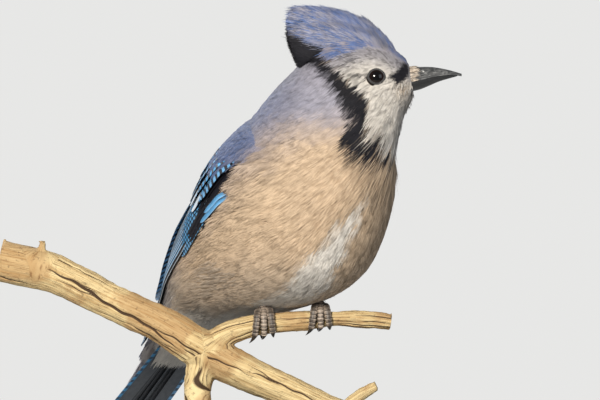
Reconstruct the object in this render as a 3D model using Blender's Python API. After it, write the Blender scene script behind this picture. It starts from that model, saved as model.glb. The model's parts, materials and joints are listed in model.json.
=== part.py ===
"""Blue jay gripping a cut length of forked branch, life size, held up by a plain display stand.

The frame is in metres with +Z up and its origin under the middle of the stand's base. +X runs along the side
branch towards its free end, and the front toes point to -Y.
"""
import math

import bmesh
import bpy
from mathutils import Vector

MM = 0.001
GAP = 0.3 * MM                              # clearance between pieces that touch
PERCH_HEIGHT = 68 * MM                      # middle of the side branch above the floor
PERCH_PLACE = Vector((14 * MM, -8 * MM, PERCH_HEIGHT))
BODY_YAW = 53                               # heading from +X towards -Y, in degrees
TAIL_YAW, TAIL_PITCH = 50, 40
TAIL_LENGTH = 118 * MM
FEATHER = 0.5 * MM                          # thickness of a vane
LAYER = 0.85 * MM                           # step between vanes that lie over one another
EYE_RADIUS = 4.9 * MM
EYE_SHOWN = 3.5 * MM                        # half the width of eye that the lids leave open
TOE_RADIUS = 1.35 * MM
FLAT_ANGLE = math.radians(0.8)              # faces that turn less than this are one
BASE_RADIUS, BASE_THICKNESS = 66 * MM, 12 * MM
ROD_RADIUS = 3 * MM

# Cross-sections from over the tail to the bill. Places are in mm from the middle of the side branch between the
# feet. Yaw turns the heading from +X towards -Y and pitch lifts it, in degrees. The last three are the half
# width, the depth to the back and the depth to the belly, in mm.
SECTIONS = (
    (-71.5, 101.5, -42, TAIL_YAW, TAIL_PITCH, 13, 3, 3),
    (-62.2, 89, -29.4, TAIL_YAW, TAIL_PITCH, 14.5, 4, 4),
    (-53, 76.7, -16.6, TAIL_YAW, TAIL_PITCH, 16, 5, 6),
    (-43.7, 64.5, -3.7, BODY_YAW, 40, 19.5, 6, 9),
    (-34, 52, 8, BODY_YAW, 40, 26.5, 9, 14),
    (-26, 41, 17, BODY_YAW, 41, 33, 14, 22),
    (-18, 28, 28, BODY_YAW, 43, 35.5, 21, 33),
    (-9, 14, 39, BODY_YAW, 45, 39, 27, 43),
    (-1, 3, 50, BODY_YAW, 46, 40.5, 30.5, 48),
    (6, -6, 61, 52, 48, 39, 31, 46),
    (13, -13.5, 73, 46, 53, 34.5, 33, 41),
    (18, -18, 83, 32, 56, 29, 33, 35),
    (25, -22, 93, 14, 50, 22, 30, 28.5),
    (31, -24, 101.5, 5, 40, 18, 27.5, 26),
    (37, -25, 106.5, 2, 30.6, 16, 24.5, 23.5),
    (43, -25.5, 109, 2, 23, 14.3, 19, 18.5),
    (48.7, -25.7, 109.7, 2, 17.7, 11.6, 12.6, 13),
    (54, -25.9, 109.3, 2, 9.5, 6.8, 6.2, 7),
)
TAIL_ROOT, TORSO_END, NECK_END, HEAD_END = 4.0, 10.5, 12.7, 17.0    # places along the sections
EYE_PLACE, EYE_ANGLE = 14.3, 84            # along the sections, and round from the back, in degrees

# Each leg's hip, ankle and foot along the side branch, in mm
LEGS = {"right": ((-24, 20, 24), (-18, 7.5, 13.5), -11.8), "left": ((8, 17, 26), (12.5, 6.5, 14), 13.6)}
SHANK_RADII = (1.6, 1.35, 1.25, 1.2, 1.25, 1.4, 1.7)
PAD_RADIUS = 2.5 * MM
# Each toe: its offset along the branch, how far round it reaches in degrees (below zero for the hind toe), how
# much it spreads sideways, and how far its claw stands off the branch and leans sideways, in mm
TOES = ((-2.4, 126, -1.6, 4.6, -2.6), (0.0, 128, 0.2, 2.4, -1.2), (2.6, 122, 1.5, 1.4, 0.4),
        (-0.3, -112, -0.8, 2.0, 0.0))

# Each branch: mm along its middle line with its radius, how many steps, and half its number of sides
BRANCHES = (
    ("main", ((-131, 1, 26.5, 9.2), (-108, 1, 21.4, 9.0), (-81, 0.5, 8.6, 7.9), (-58, 0, -2.3, 8.2),
              (-38, 0, -14.4, 9.2), (-18, 0, -24.8, 8.0), (4.5, 0.5, -34.7, 7.2), (27, 1, -45, 6.8)), 16, 6),
    ("side", ((-38, 0, -13.5, 7.0), (-29.3, 0, -6.8, 5.6), (-19.4, 0, -3.4, 4.8), (-5.9, 0, -1.4, 4.7),
              (4.5, 0, -0.4, 4.4), (18, 0, 0.7, 3.6), (38.3, 0, 0, 3.9), (45.5, 0, -0.9, 3.2)), 16, 5),
    ("stub", ((-38, 0, -14, 7.5), (-41.4, 0.3, -29.3, 6.0), (-41, 0.5, -41, 5.6)), 5, 5),
    ("knob", ((-113, 0, 24, 3.4), (-112, -1, 31, 2.2), (-111.3, -1.5, 35.6, 1.7)), 3, 4),
    ("twig", ((24, 0, -40, 3.2), (32, -1, -33.5, 2.4), (39, -2, -29.6, 1.8)), 3, 4),
)

# Crest, from forehead to nape: root x and z on the crown, then tip x and z, in mm, and half its width there
CREST = ((51, 115.5, 49, 118.5), (48, 117.5, 43, 125), (44, 121, 37, 130.5), (39, 124, 28, 135.5),
         (34, 126, 17, 139), (28, 127, 6, 140), (22, 126.5, -0.6, 138), (16, 124, -1.2, 131.5),
         (10, 119.5, 0, 124.5), (6, 115, 4, 116.5))
CREST_WIDTH = (3.0, 5.6, 7.2, 8.0, 8.4, 8.2, 7.6, 6.8, 5.6, 2.5)
CREST_CORE = 0.45                           # how much of the crest's height its core takes
CREST_ROWS = 7
CREST_COLUMNS = (-58, 0, 58)                # degrees round the crown from its top
HEAD_MIDDLE = -25.9                         # the head's middle plane, mm
BILL_TURN = -0.035                          # how the bill leans towards -Y for each mm along it

# Each half of the bill: x, outer ridge z, mouth z and half width, in mm
BILL_UPPER = ((51.5, 112.6, 105.7, 5.4), (54.4, 113.2, 106.3, 5.3), (58, 113.4, 107.3, 4.7),
              (63.5, 113.3, 108.7, 3.7), (69, 112.4, 109.5, 2.6), (73.4, 111.2, 109.7, 1.6), (77, 109.9, 109.3, 0.5))
BILL_LOWER = ((51.5, 102.3, 105.2, 5.0), (54.4, 102.5, 105.8, 4.9), (58, 103.3, 106.8, 4.3),
              (62, 104.9, 107.9, 3.4), (67, 107.0, 108.9, 2.3), (72.6, 108.9, 109.2, 0.8))

# The folded wing: places along the body and, at five equal steps from shoulder to tip, the angles of its edges,
# and how far its feathers lie off the body at its lower edge and its upper edge, in mm
WING_START, WING_END = 10.3, 2.0
WING_LOW = (86, 92, 91, 84, 74)
WING_HIGH = (34, 24, 24, 36, 66)
WING_OFF = (1.6, 1.9, 2.1, 4.6, 3.4)
WING_STACK = 1.6
ARM_END = 0.5                               # how much of the wing the arm's solid takes
ARM_DEPTH = 2.6
FLIGHT_FEATHERS = 11                        # coarser than the real nineteen
PRIMARIES = 6
# Along the wing, where each flight feather ends, from the outermost primary to the innermost tertial
FLIGHT_TIPS = (0.90, 0.97, 1.0, 0.96, 0.91, 0.86, 0.80, 0.77, 0.74, 0.66, 0.57)
# Rows of smaller wing feathers: how many, where they start and end along the wing, where their tips run across
# it, how far over the flight feathers they lie in mm, and their half width in mm
COVERTS = (("primary_covert", 3, 0.20, (0.60, 0.52), (0.03, 0.20), 0.8, 3.2),
           ("greater_covert", 7, 0.20, (0.42, 0.50), (0.12, 0.94), 1.4, 4.0),
           ("median_covert", 6, 0.06, (0.25, 0.30), (0.08, 0.92), 1.9, 4.3),
           ("alula", 2, 0.12, (0.42, 0.36), (0.0, 0.07), 1.9, 2.2))

TAIL_BASE = (-25.3, 40.2, 22.2)
# Half of the tail from its middle feather outwards: how far out each feather's tip is in mm, and its length
TAIL_OUT = (2.2, 5.4, 8.4, 11.0, 13.2, 15.0)
TAIL_REACH = (1.0, 0.995, 0.98, 0.96, 0.93, 0.89)
TAIL_SPREAD = 0.74                          # how far out the feathers are at the root against their tips
# Feathers over and under the tail's root: how many, how long against the tail, and the spread of their tips in mm
TAIL_COVERTS = (("upper_covert", 5, 0.40, 9.5, 1), ("under_covert", 5, 0.60, 9.5, -1))

BASE_X, BASE_Y = -14, 8                     # the base's middle, mm
RODS = ((-41, 0.5, -39), (21, 0.8, -47))  # each rod: x, y and the height of its top, mm from the side branch

# Colour, roughness and metallic value, by the start of a node's name
LOOKS = (
    ("eye", (0.010, 0.007, 0.006), 0.08, 0.0), ("bill", (0.035, 0.038, 0.045), 0.42, 0.0),
    ("claw", (0.03, 0.027, 0.025), 0.4, 0.0), ("foot", (0.10, 0.08, 0.07), 0.6, 0.0),
    ("tarsus", (0.10, 0.08, 0.07), 0.6, 0.0), ("perch", (0.58, 0.40, 0.22), 0.75, 0.0),
    ("stand_base", (0.10, 0.10, 0.11), 0.45, 0.0), ("stand_rod", (0.55, 0.55, 0.56), 0.35, 1.0),
    ("wing", (0.06, 0.16, 0.42), 0.65, 0.0), ("tail", (0.10, 0.18, 0.36), 0.65, 0.0),
    ("head", (0.22, 0.32, 0.55), 0.8, 0.0), ("neck", (0.50, 0.45, 0.44), 0.85, 0.0),
    ("torso", (0.55, 0.46, 0.38), 0.85, 0.0), ("thigh", (0.50, 0.44, 0.38), 0.85, 0.0),
)


def smooth_value(values, place):
    """The value at a place, counted in steps of the list, on a smooth curve through the list."""
    last = len(values) - 1
    i = max(0, min(int(place), last - 1))
    f = place - i
    p1, p2 = values[i], values[i + 1]
    p0 = values[i - 1] if i > 0 else 2 * p1 - p2
    p3 = values[i + 2] if i + 2 <= last else 2 * p2 - p1
    return 0.5 * (2 * p1 + (p2 - p0) * f + (2 * p0 - 5 * p1 + 4 * p2 - p3) * f * f
                  + (3 * p1 - p0 - 3 * p2 + p3) * f ** 3)


def heading(yaw, pitch):
    """Unit vectors ahead, to the bird's left, and out of its back, for a yaw and pitch in degrees."""
    yaw, pitch = math.radians(yaw), math.radians(pitch)
    ahead = Vector((math.cos(pitch) * math.cos(yaw), -math.cos(pitch) * math.sin(yaw), math.sin(pitch)))
    left = Vector((math.sin(yaw), math.cos(yaw), 0))
    return ahead, left, ahead.cross(left)


def section(place):
    """Centre, left and back directions, half width, and depths to back and belly at a place along the body."""
    x, y, z, yaw, pitch, side, back, belly = (
        smooth_value(column, place) for column in zip(*SECTIONS))
    _, left, up = heading(yaw, pitch)
    return Vector((x, y, z)) * MM, left, up, side * MM, back * MM, belly * MM


def body_point(place, angle, lift=0.0):
    """A point of the body's surface, lifted off it. Angle 0 is mid back and 90 is the bird's left side."""
    centre, left, up, side, back, belly = section(place)
    c, s = math.cos(math.radians(angle)), math.sin(math.radians(angle))
    return centre + left * ((side + lift) * s) + up * (((back if c > 0 else belly) + lift) * c)


def body_normal(place, angle):
    """The outward direction of the body's surface."""
    step, turn = 0.05, 3.0
    along = body_point(place + step, angle) - body_point(place - step, angle)
    across = body_point(place, angle + turn) - body_point(place, angle - turn)
    return along.cross(across).normalized()


def material(name, colour, roughness, metallic=0.0):
    made = bpy.data.materials.get(name) or bpy.data.materials.new(name)
    made.use_nodes = True
    shader = made.node_tree.nodes["Principled BSDF"]
    shader.inputs["Base Color"].default_value = (*colour, 1)
    shader.inputs["Roughness"].default_value = roughness
    shader.inputs["Metallic"].default_value = metallic
    return made


def new_object(name, mesh, collection):
    """An object made from a bmesh, which is freed, with its faces turned outwards."""
    bmesh.ops.recalc_face_normals(mesh, faces=mesh.faces)
    data = bpy.data.meshes.new(name)
    mesh.to_mesh(data)
    mesh.free()
    piece = bpy.data.objects.new(name, data)
    collection.objects.link(piece)
    return piece


def loft(name, rings, collection):
    """A closed solid through rings of equally many points, with a fan of faces at each end."""
    mesh = bmesh.new()
    rows = [[mesh.verts.new(p) for p in ring] for ring in rings]
    count = len(rings[0])
    for low, high in zip(rows, rows[1:]):
        for i in range(count):
            j = (i + 1) % count
            mesh.faces.new((low[i], low[j], high[j]))
            mesh.faces.new((low[i], high[j], high[i]))
    for row, turned in ((rows[0], True), (rows[-1], False)):
        middle = mesh.verts.new(sum((v.co for v in row), Vector()) / count)
        for i in range(count):
            j = (i + 1) % count
            mesh.faces.new((middle, row[j], row[i]) if turned else (middle, row[i], row[j]))
    return new_object(name, mesh, collection)


def body_loft(name, start, end, steps, around, collection, lift=0.0):
    """The stretch of the body between two places."""
    places = [start + (end - start) * k / steps for k in range(steps + 1)]
    rings = [[body_point(p, 360 * i / around, lift) for i in range(around)] for p in places]
    return loft(name, rings, collection)


def vane(name, axis, normals, lefts, rights, rise, collection, thickness=FEATHER):
    """A feather: a thin blade along an axis, wide to each side, whose left edge rises by a part of its width."""
    mesh = bmesh.new()
    rows = []
    for k, point in enumerate(axis):
        ahead = (axis[min(k + 1, len(axis) - 1)] - axis[max(k - 1, 0)]).normalized()
        normal = (normals[k] - ahead * normals[k].dot(ahead)).normalized()
        side = (normal.cross(ahead) + normal * rise).normalized()
        half = ahead.cross(side).normalized() * (thickness / 2)
        left, right = point + side * lefts[k], point - side * rights[k]
        rows.append([mesh.verts.new(p) for p in (left + half, right + half, right - half, left - half)])
    for low, high in zip(rows, rows[1:]):
        for i, j in ((0, 1), (3, 2), (1, 2), (3, 0)):       # the first two are the faces, and they split alike
            mesh.faces.new((low[i], low[j], high[j]))
            mesh.faces.new((low[i], high[j], high[i]))
    for row in (rows[0], rows[-1]):
        mesh.faces.new((row[0], row[1], row[2]))
        mesh.faces.new((row[0], row[2], row[3]))
    return new_object(name, mesh, collection)


def feather_outline(steps):
    """How far along a feather its rows are, and how wide it is there against its full width."""
    if steps == 3:
        return (0, 0.45, 0.84, 1), (0.5, 1, 0.85, 0.3)
    return (0, 0.3, 0.64, 0.88, 1), (0.4, 0.9, 1, 0.82, 0.3)


def largest_part(piece):
    """Keeps only the largest closed surface of a mesh object."""
    mesh = bmesh.new()
    mesh.from_mesh(piece.data)
    left, groups = set(mesh.verts), []
    while left:
        stack, group = [left.pop()], []
        while stack:
            vert = stack.pop()
            group.append(vert)
            for edge in vert.link_edges:
                other = edge.other_vert(vert)
                if other in left:
                    left.remove(other)
                    stack.append(other)
        groups.append(group)
    groups.sort(key=len, reverse=True)
    bmesh.ops.delete(mesh, geom=[v for g in groups[1:] for v in g], context="VERTS")
    bmesh.ops.dissolve_limit(mesh, angle_limit=FLAT_ANGLE, verts=mesh.verts, edges=mesh.edges)
    bmesh.ops.triangulate(mesh, faces=mesh.faces)
    mesh.to_mesh(piece.data)
    mesh.free()


def apply_boolean(piece, operation, others, solver="MANIFOLD"):
    """Joins or cuts a piece with a list of closed mesh objects, which are then removed."""
    group = bpy.data.collections.new(piece.name + "_tools")
    bpy.context.scene.collection.children.link(group)
    for other in others:
        for owner in list(other.users_collection):
            owner.objects.unlink(other)
        group.objects.link(other)
    modifier = piece.modifiers.new("join", "BOOLEAN")
    modifier.operation, modifier.solver = operation, solver
    modifier.operand_type, modifier.collection = "COLLECTION", group
    bpy.context.view_layer.update()
    shape = piece.evaluated_get(bpy.context.evaluated_depsgraph_get())
    data = bpy.data.meshes.new_from_object(shape)
    piece.modifiers.clear()
    piece.data = data
    data.name = piece.name
    for other in others:
        bpy.data.objects.remove(other)
    bpy.data.collections.remove(group)
    return piece


def fuse(name, pieces, cutters=()):
    """One closed body from overlapping pieces, less the cutters."""
    piece = pieces[0]
    piece.name = name
    if pieces[1:]:
        apply_boolean(piece, "UNION", pieces[1:])
    if cutters:
        apply_boolean(piece, "DIFFERENCE", list(cutters))
    largest_part(piece)
    return piece


def torso_solid(collection, swell=0.0):
    return body_loft("torso", TAIL_ROOT, TORSO_END, 14, 24, collection, swell)


def make_body(collection):
    torso = torso_solid(collection)
    clear = branch_pieces(collection, GAP, ("main", "side"))
    for side, (_, _, middle) in LEGS.items():
        clear += leg_pieces(side, collection, 1.3 * GAP)
        clear.append(ball("pad", foot_pad(middle), PAD_RADIUS + 1.5 * GAP, collection, 12, 8))
    apply_boolean(torso, "DIFFERENCE", clear, "EXACT")
    largest_part(torso)
    neck = body_loft("neck", TORSO_END + 0.035, NECK_END, 5, 26, collection)
    apply_boolean(neck, "DIFFERENCE", [crest_core(collection, CREST_CORE, GAP)], "EXACT")
    largest_part(neck)


def mesh_copy(curve, collection):
    """A closed mesh object made from a curve object, which is removed."""
    bpy.context.view_layer.update()
    shape = curve.evaluated_get(bpy.context.evaluated_depsgraph_get())
    data = bpy.data.meshes.new_from_object(shape)
    mesh = bmesh.new()
    mesh.from_mesh(data)
    bmesh.ops.remove_doubles(mesh, verts=mesh.verts, dist=1e-6)
    name, place = curve.name, curve.matrix_world.copy()
    bpy.data.objects.remove(curve)
    piece = new_object(name, mesh, collection)
    piece.matrix_world = place
    return piece


def tube(name, points, radii, collection, sides=3):
    """A tube of changing radius through points, made as a curve and turned into a closed mesh."""
    data = bpy.data.curves.new(name, "CURVE")
    data.dimensions = "3D"
    data.bevel_depth = 1.0
    data.bevel_resolution = sides - 2
    data.use_fill_caps = True
    spline = data.splines.new("POLY")
    spline.points.add(len(points) - 1)
    for spot, point, radius in zip(spline.points, points, radii):
        spot.co = (*point, 1)
        spot.radius = radius
    piece = bpy.data.objects.new(name, data)
    collection.objects.link(piece)
    return mesh_copy(piece, collection)


def smooth_route(route, steps):
    """Points and radii on a smooth curve through (x, y, z, radius) in mm."""
    columns = list(zip(*route))
    places = [(len(route) - 1) * k / steps for k in range(steps + 1)]
    values = [[smooth_value(c, p) * MM for c in columns] for p in places]
    return [Vector(v[:3]) for v in values], [v[3] for v in values]


def branch_pieces(collection, swell=0.0, chosen=("main", "side", "stub", "knob", "twig")):
    """The perch's main branch, its side branch, its cut stub and two broken twigs, grown by a swell."""
    pieces = []
    for name, route, steps, sides in BRANCHES:
        if name not in chosen:
            continue
        points, radii = smooth_route(route, steps)
        pieces.append(tube(name, points, [r + swell for r in radii], collection, sides))
    return pieces


def side_branch(x):
    """Centre and radius of the side branch at a distance along X."""
    route = BRANCHES[1][1]
    columns = list(zip(*route))
    low, high = 0.0, len(route) - 1.0
    for _ in range(40):
        middle = (low + high) / 2
        if smooth_value(columns[0], middle) * MM < x:
            low = middle
        else:
            high = middle
    values = [smooth_value(c, low) * MM for c in columns]
    return Vector(values[:3]), values[3]


def make_perch(collection):
    return fuse("perch_branch", branch_pieces(collection))


def foot_pad(middle):
    """The middle of the ball of the foot, on top of the side branch."""
    centre, radius = side_branch(middle * MM)
    return centre + Vector((0, 0.6 * MM, radius + GAP + 1.9 * MM))


def leg_pieces(side, collection, swell=0.0):
    """One leg's feathered thigh and scaled shank, grown by a swell."""
    hip, ankle, middle = LEGS[side]
    start, end = Vector(hip) * MM, Vector(ankle) * MM
    points = [start.lerp(end, k / 8) for k in range(9)]
    radii = [(2.6 + 6.4 * math.sin(math.pi * (0.12 + 0.88 * (1 - k / 8)) ** 0.8)) * MM + swell for k in range(9)]
    thigh = tube("thigh_" + side, points, radii, collection, 4)
    pad = foot_pad(middle)
    top = end + (end - start).normalized() * (0.5 * MM - swell)
    low = pad + (top - pad).normalized() * (PAD_RADIUS + GAP - swell)
    points = [top.lerp(low, k / 6) for k in range(7)]
    radii = [SHANK_RADII[k] * MM + swell for k in range(7)]
    return thigh, tube("tarsus_" + side, points, radii, collection, 4)


def make_legs(collection):
    """Thighs, scaled shanks, and feet whose front toes come over the near side of the side branch."""
    for side, (hip, ankle, middle) in LEGS.items():
        leg_pieces(side, collection)
        pad = foot_pad(middle)
        toes = [make_toe(side, k, middle + shape[0], shape[1:], pad, collection) for k, shape in enumerate(TOES)]
        knuckle = ball("pad", pad, PAD_RADIUS, collection, 12, 8)
        fuse("foot_" + side, [knuckle] + toes, branch_pieces(collection, GAP, ("side",)))


def make_toe(side, number, x, shape, pad, collection):
    """One toe round the side branch, from the foot's pad to its claw, and the claw beyond it."""
    reach, spread, drop, lean = shape
    forward = -1 if reach > 0 else 1
    points, radii = [pad], [1.7 * MM]
    steps = 6
    for k in range(steps + 1):
        t = k / steps
        where = (x + spread * t) * MM
        centre, radius = side_branch(where)
        angle = math.radians(20 + (abs(reach) - 20) * t)
        joint = 0.12 * MM * math.cos(3 * 2 * math.pi * t)
        out = radius + GAP + TOE_RADIUS + 0.2 * MM
        points.append(Vector((where, centre.y + forward * out * math.sin(angle), centre.z + out * math.cos(angle))))
        radii.append(TOE_RADIUS * (1.08 - 0.2 * t) + joint)
    toe = tube("toe", points, radii, collection, 3)
    claw_points, claw_radii = [], []
    for k in range(7):
        t = k / 6
        where = (x + spread + lean * t ** 1.3) * MM
        centre, radius = side_branch(where)
        out = radius + GAP + TOE_RADIUS * (1 - 0.5 * t) + (0.1 + drop * t ** 1.2) * MM
        angle = math.radians(abs(reach) + 7.5 + 48 * t)
        claw_points.append(Vector((where, centre.y + forward * out * math.sin(angle),
                                   centre.z + out * math.cos(angle))))
        claw_radii.append((1.05 - 0.92 * t) * MM)
    tube("claw_%s_%d" % (side, number + 1), claw_points, claw_radii, collection, 3)
    return toe


def eye_centre(side):
    """The eyeball's centre, sunk so that the lids leave EYE_SHOWN open."""
    normal = body_normal(EYE_PLACE, side * EYE_ANGLE)
    depth = math.sqrt(EYE_RADIUS ** 2 - EYE_SHOWN ** 2)
    return body_point(EYE_PLACE, side * EYE_ANGLE) - normal * (depth - 0.3 * MM), normal


def ball(name, centre, radius, collection, segments=14, rings=8):
    mesh = bmesh.new()
    bmesh.ops.create_uvsphere(mesh, u_segments=segments, v_segments=rings, radius=radius)
    bmesh.ops.translate(mesh, verts=mesh.verts, vec=centre)
    return new_object(name, mesh, collection)


def ring(name, centre, normal, radius, thickness, collection, around=16, sides=4):
    """A torus, such as the rim of the lids."""
    turn = normal.to_track_quat("Z", "Y").to_matrix()
    rings = []
    for i in range(around):
        a = 2 * math.pi * i / around
        out = turn @ Vector((math.cos(a), math.sin(a), 0))
        rings.append([centre + out * (radius + thickness * math.cos(2 * math.pi * k / sides))
                      + normal * (thickness * math.sin(2 * math.pi * k / sides)) for k in range(sides)])
    mesh = bmesh.new()
    rows = [[mesh.verts.new(p) for p in r] for r in rings]
    for i in range(around):
        low, high = rows[i], rows[(i + 1) % around]
        for k in range(sides):
            m = (k + 1) % sides
            mesh.faces.new((low[k], low[m], high[m], high[k]))
    return new_object(name, mesh, collection)


def crest_spot(row, angle, height):
    """A point of the crest: rows run from forehead to nape, and the angle goes round the crown from its top."""
    root_x, root_z, tip_x, tip_z = (smooth_value(column, row) for column in zip(*CREST))
    wide = smooth_value(CREST_WIDTH, row) * MM
    base = Vector((root_x, HEAD_MIDDLE, root_z - 4)) * MM
    top = Vector((root_x + (tip_x - root_x) * height, HEAD_MIDDLE, root_z + (tip_z - root_z) * height)) * MM
    rise = 0.5 + 0.5 * math.cos(math.radians(angle))
    return base + (top - base) * rise + Vector((0, wide * math.sin(math.radians(angle)) * (1 - 0.5 * rise), 0))


def crest_core(collection, height=0.5, swell=0.0):
    """The raised crown under the crest's feathers, up to a part of their height, grown by a swell."""
    rings = []
    last = len(CREST) - 1
    for row in range(last + 1):
        ring = [crest_spot(row, 360 * i / 14, height) for i in range(14)]
        middle = sum(ring, Vector()) / 14
        ring = [p + (p - middle).normalized() * swell for p in ring]
        ends = Vector((swell if row == 0 else -swell if row == last else 0, 0, 0))
        rings.append([p + ends for p in ring])
    return loft("crest_core", rings, collection)


def crest_feathers(collection):
    """Long, narrow feathers that sweep back over one another from the crown to the crest's point."""
    made = []
    along, widths = feather_outline(3)
    for row in range(CREST_ROWS):
        for column, angle in enumerate(CREST_COLUMNS):
            place = 0.8 + row * 1.15 + 0.45 * (column % 2)
            root = crest_spot(place, angle, CREST_CORE - 0.2)
            reach = 1.0 - 0.10 * abs(angle) / 72
            tip = crest_spot(place, angle * 0.55, reach)
            bow = crest_spot(place - 0.35, angle * 0.9, 0.72)
            line = [root.lerp(bow, t).lerp(bow.lerp(tip, t), t) for t in along]
            outward = Vector((0.35, math.sin(math.radians(angle)), math.cos(math.radians(angle))))
            half = (2.3 + 0.5 * math.sin(math.pi * row / CREST_ROWS)) * MM
            spread = [half * w for w in widths]
            rise = -0.35 if angle > 0 else 0.35 if angle < 0 else 0
            made.append(vane("crest_feather", line, [outward] * 4, spread, spread, rise, collection))
    return made


def bill_skin(x, side, angle, lift):
    """A point off the upper bill's surface, round from the mouth's line to the ridge."""
    columns = list(zip(*BILL_UPPER))
    for number in range(len(BILL_UPPER) - 1):
        if x <= columns[0][number + 1]:
            break
    part = (x - columns[0][number]) / (columns[0][number + 1] - columns[0][number])
    outer, mouth, half = (c[number] + (c[number + 1] - c[number]) * part for c in columns[1:])
    turn = math.radians(angle)
    return Vector((x, HEAD_MIDDLE + BILL_TURN * (x - 54) + side * (half + lift) * math.cos(turn),
                   mouth + (outer - mouth + lift) * math.sin(turn) ** 0.8)) * MM


def nasal_bristles(collection):
    """Stiff feathers that lie forward from the forehead over the nostrils."""
    made = []
    along, widths = feather_outline(3)
    for side in (-1, 1):
        for number, angle in enumerate((12, 32, 52, 72)):
            start, end = 52.3, 60.2 + 1.2 * (number % 2)
            line = [bill_skin(start + (end - start) * t, side, angle, 0.85 + 0.15 * t) for t in along]
            line[0] = bill_skin(50.8, side, angle, -0.4)
            turn = math.radians(angle)
            outward = Vector((0, side * math.cos(turn), math.sin(turn)))
            spread = [0.95 * MM * w for w in widths]
            made.append(vane("bristle", line, [outward] * 4, spread, spread, 0, collection))
    return made


def make_head(collection):
    head = body_loft("head", NECK_END + 0.035, HEAD_END, 14, 26, collection)
    growths, sockets = [crest_core(collection, CREST_CORE)], []
    growths += crest_feathers(collection)
    growths += nasal_bristles(collection)
    for side, name in ((-1, "right"), (1, "left")):
        centre, normal = eye_centre(side)
        rim = centre + normal * math.sqrt(EYE_RADIUS ** 2 - EYE_SHOWN ** 2)
        growths.append(ring("lids", rim, normal, EYE_SHOWN + 0.5 * MM, 0.75 * MM, collection))
        sockets.append(ball("socket", centre, EYE_RADIUS + GAP, collection))
        ball("eye_" + name, centre, EYE_RADIUS, collection)
    for sections in (BILL_UPPER, BILL_LOWER):
        sockets.append(bill_half("bill_socket", sections, collection, GAP / MM))
    return fuse("head", [head] + growths, sockets)


def bill_half(name, sections, collection, swell=0.0):
    """One half of the bill, flat along the mouth and round outside, grown by a swell in mm."""
    rings = []
    for number, (x, outer, mouth, half) in enumerate(sections):
        turned = 1 if outer > mouth else -1
        outer, mouth, half = outer + turned * swell, mouth - turned * swell, half + swell
        x = x - swell if number == 0 else x
        points = []
        for i in range(9):
            a = math.pi * i / 8
            points.append(Vector((x, HEAD_MIDDLE + BILL_TURN * (x - 54) - half * math.cos(a),
                                  mouth + (outer - mouth) * math.sin(a) ** 0.8)) * MM)
        for f in (0.45, -0.45):
            points.append(Vector((x, HEAD_MIDDLE + BILL_TURN * (x - 54) + half * f,
                                  mouth + 0.12 * (outer - mouth))) * MM)
        rings.append(points)
    return loft(name, rings, collection)


def make_bill(collection):
    upper = bill_half("bill_upper", BILL_UPPER, collection)
    nostrils = []
    for side in (-1, 1):
        pit = ball("nostril", Vector((58.2, HEAD_MIDDLE + side * 4.4, 110.4)) * MM, 1.0 * MM, collection, 8, 6)
        nostrils.append(pit)
    apply_boolean(upper, "DIFFERENCE", nostrils, "EXACT")
    largest_part(upper)
    bill_half("bill_lower", BILL_LOWER, collection)


def wing_place(u, v):
    """Place and angle on the body for u from shoulder to wing tip and v from the lower to the upper edge."""
    place = WING_START + (WING_END - WING_START) * u
    low, high = smooth_value(WING_LOW, u * 4), smooth_value(WING_HIGH, u * 4)
    return place, low + (high - low) * v


def wing_point(side, u, v, lift):
    place, angle = wing_place(u, v)
    return body_point(place, side * angle) + body_normal(place, side * angle) * lift


def wing_lift(u, v):
    """How far off the body the flight feathers lie, in metres."""
    return (smooth_value(WING_OFF, u * 4) + WING_STACK * min(1.0, 1.7 * v)) * MM


def wing_arm(side, collection):
    """The solid front half of the folded wing, on which its feathers grow."""
    rings = []
    steps, across = 9, 6
    for k in range(steps + 1):
        u = ARM_END * k / steps
        points = []
        for i in range(2 * across):
            upper = i < across
            f = i / (across - 1) if upper else (2 * across - 1 - i) / (across - 1)
            round_end = min(1.0, 0.3 + 4 * u)
            high = 0.6 + ARM_DEPTH * (0.35 + 0.65 * math.sin(math.pi * f) ** 0.5) * round_end
            points.append(wing_point(side, u, f if upper else 0.04 + 0.92 * f, (high if upper else 0.6) * MM))
        rings.append(points)
    return loft("wing_arm", rings, collection)


def wing_vane(name, side, root, tip, lifts, half, steps, rise, collection):
    """A wing feather from root to tip, each a place along and across the wing, with its lifts off the body."""
    along, widths = feather_outline(steps)
    axis, normals = [], []
    for t in along:
        u, v = root[0] + (tip[0] - root[0]) * t, root[1] + (tip[1] - root[1]) * t
        place, angle = wing_place(u, v)
        lift = lifts[0] + (lifts[1] - lifts[0]) * min(1.0, 2.2 * t)
        axis.append(wing_point(side, u, v, lift))
        normals.append(body_normal(place, side * angle))
    lower, upper = [half[0] * w * MM for w in widths], [half[1] * w * MM for w in widths]
    if side < 0:
        return vane(name, axis, normals, lower, upper, rise, collection)
    return vane(name, axis, normals, upper, lower, -rise, collection)


def wing_feathers(side, collection):
    """Flight feathers like tiles, each over the one below it, with rows of coverts and the alula on top."""
    made = []
    for i, tip in enumerate(FLIGHT_TIPS):
        f = i / (FLIGHT_FEATHERS - 1)
        root_v, tip_v = 0.16 + 0.74 * f, 0.08 + 0.86 * f
        if i < PRIMARIES:
            tip_v = 0.12 + 0.14 * i
        half = (2.3, 4.6) if i < PRIMARIES else (3.4, 4.4)
        lift = wing_lift(tip, f * 1.05)
        made.append(wing_vane("flight", side, (0.33, root_v), (tip, tip_v), (1.9 * MM, lift), half, 4, 0.25,
                              collection))
    for name, count, start, ends, spread, over, half in COVERTS:
        for i in range(count):
            f = i / (count - 1)
            v = spread[0] + (spread[1] - spread[0]) * f
            end = ends[0] + (ends[1] - ends[0]) * f
            lift = wing_lift(end, v) + over * MM
            made.append(wing_vane(name, side, (start, v * 0.94 + 0.03), (end, v), (1.6 * MM, lift),
                                  (half * 0.9, half * 1.1), 3, 0.2, collection))
    return made


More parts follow.
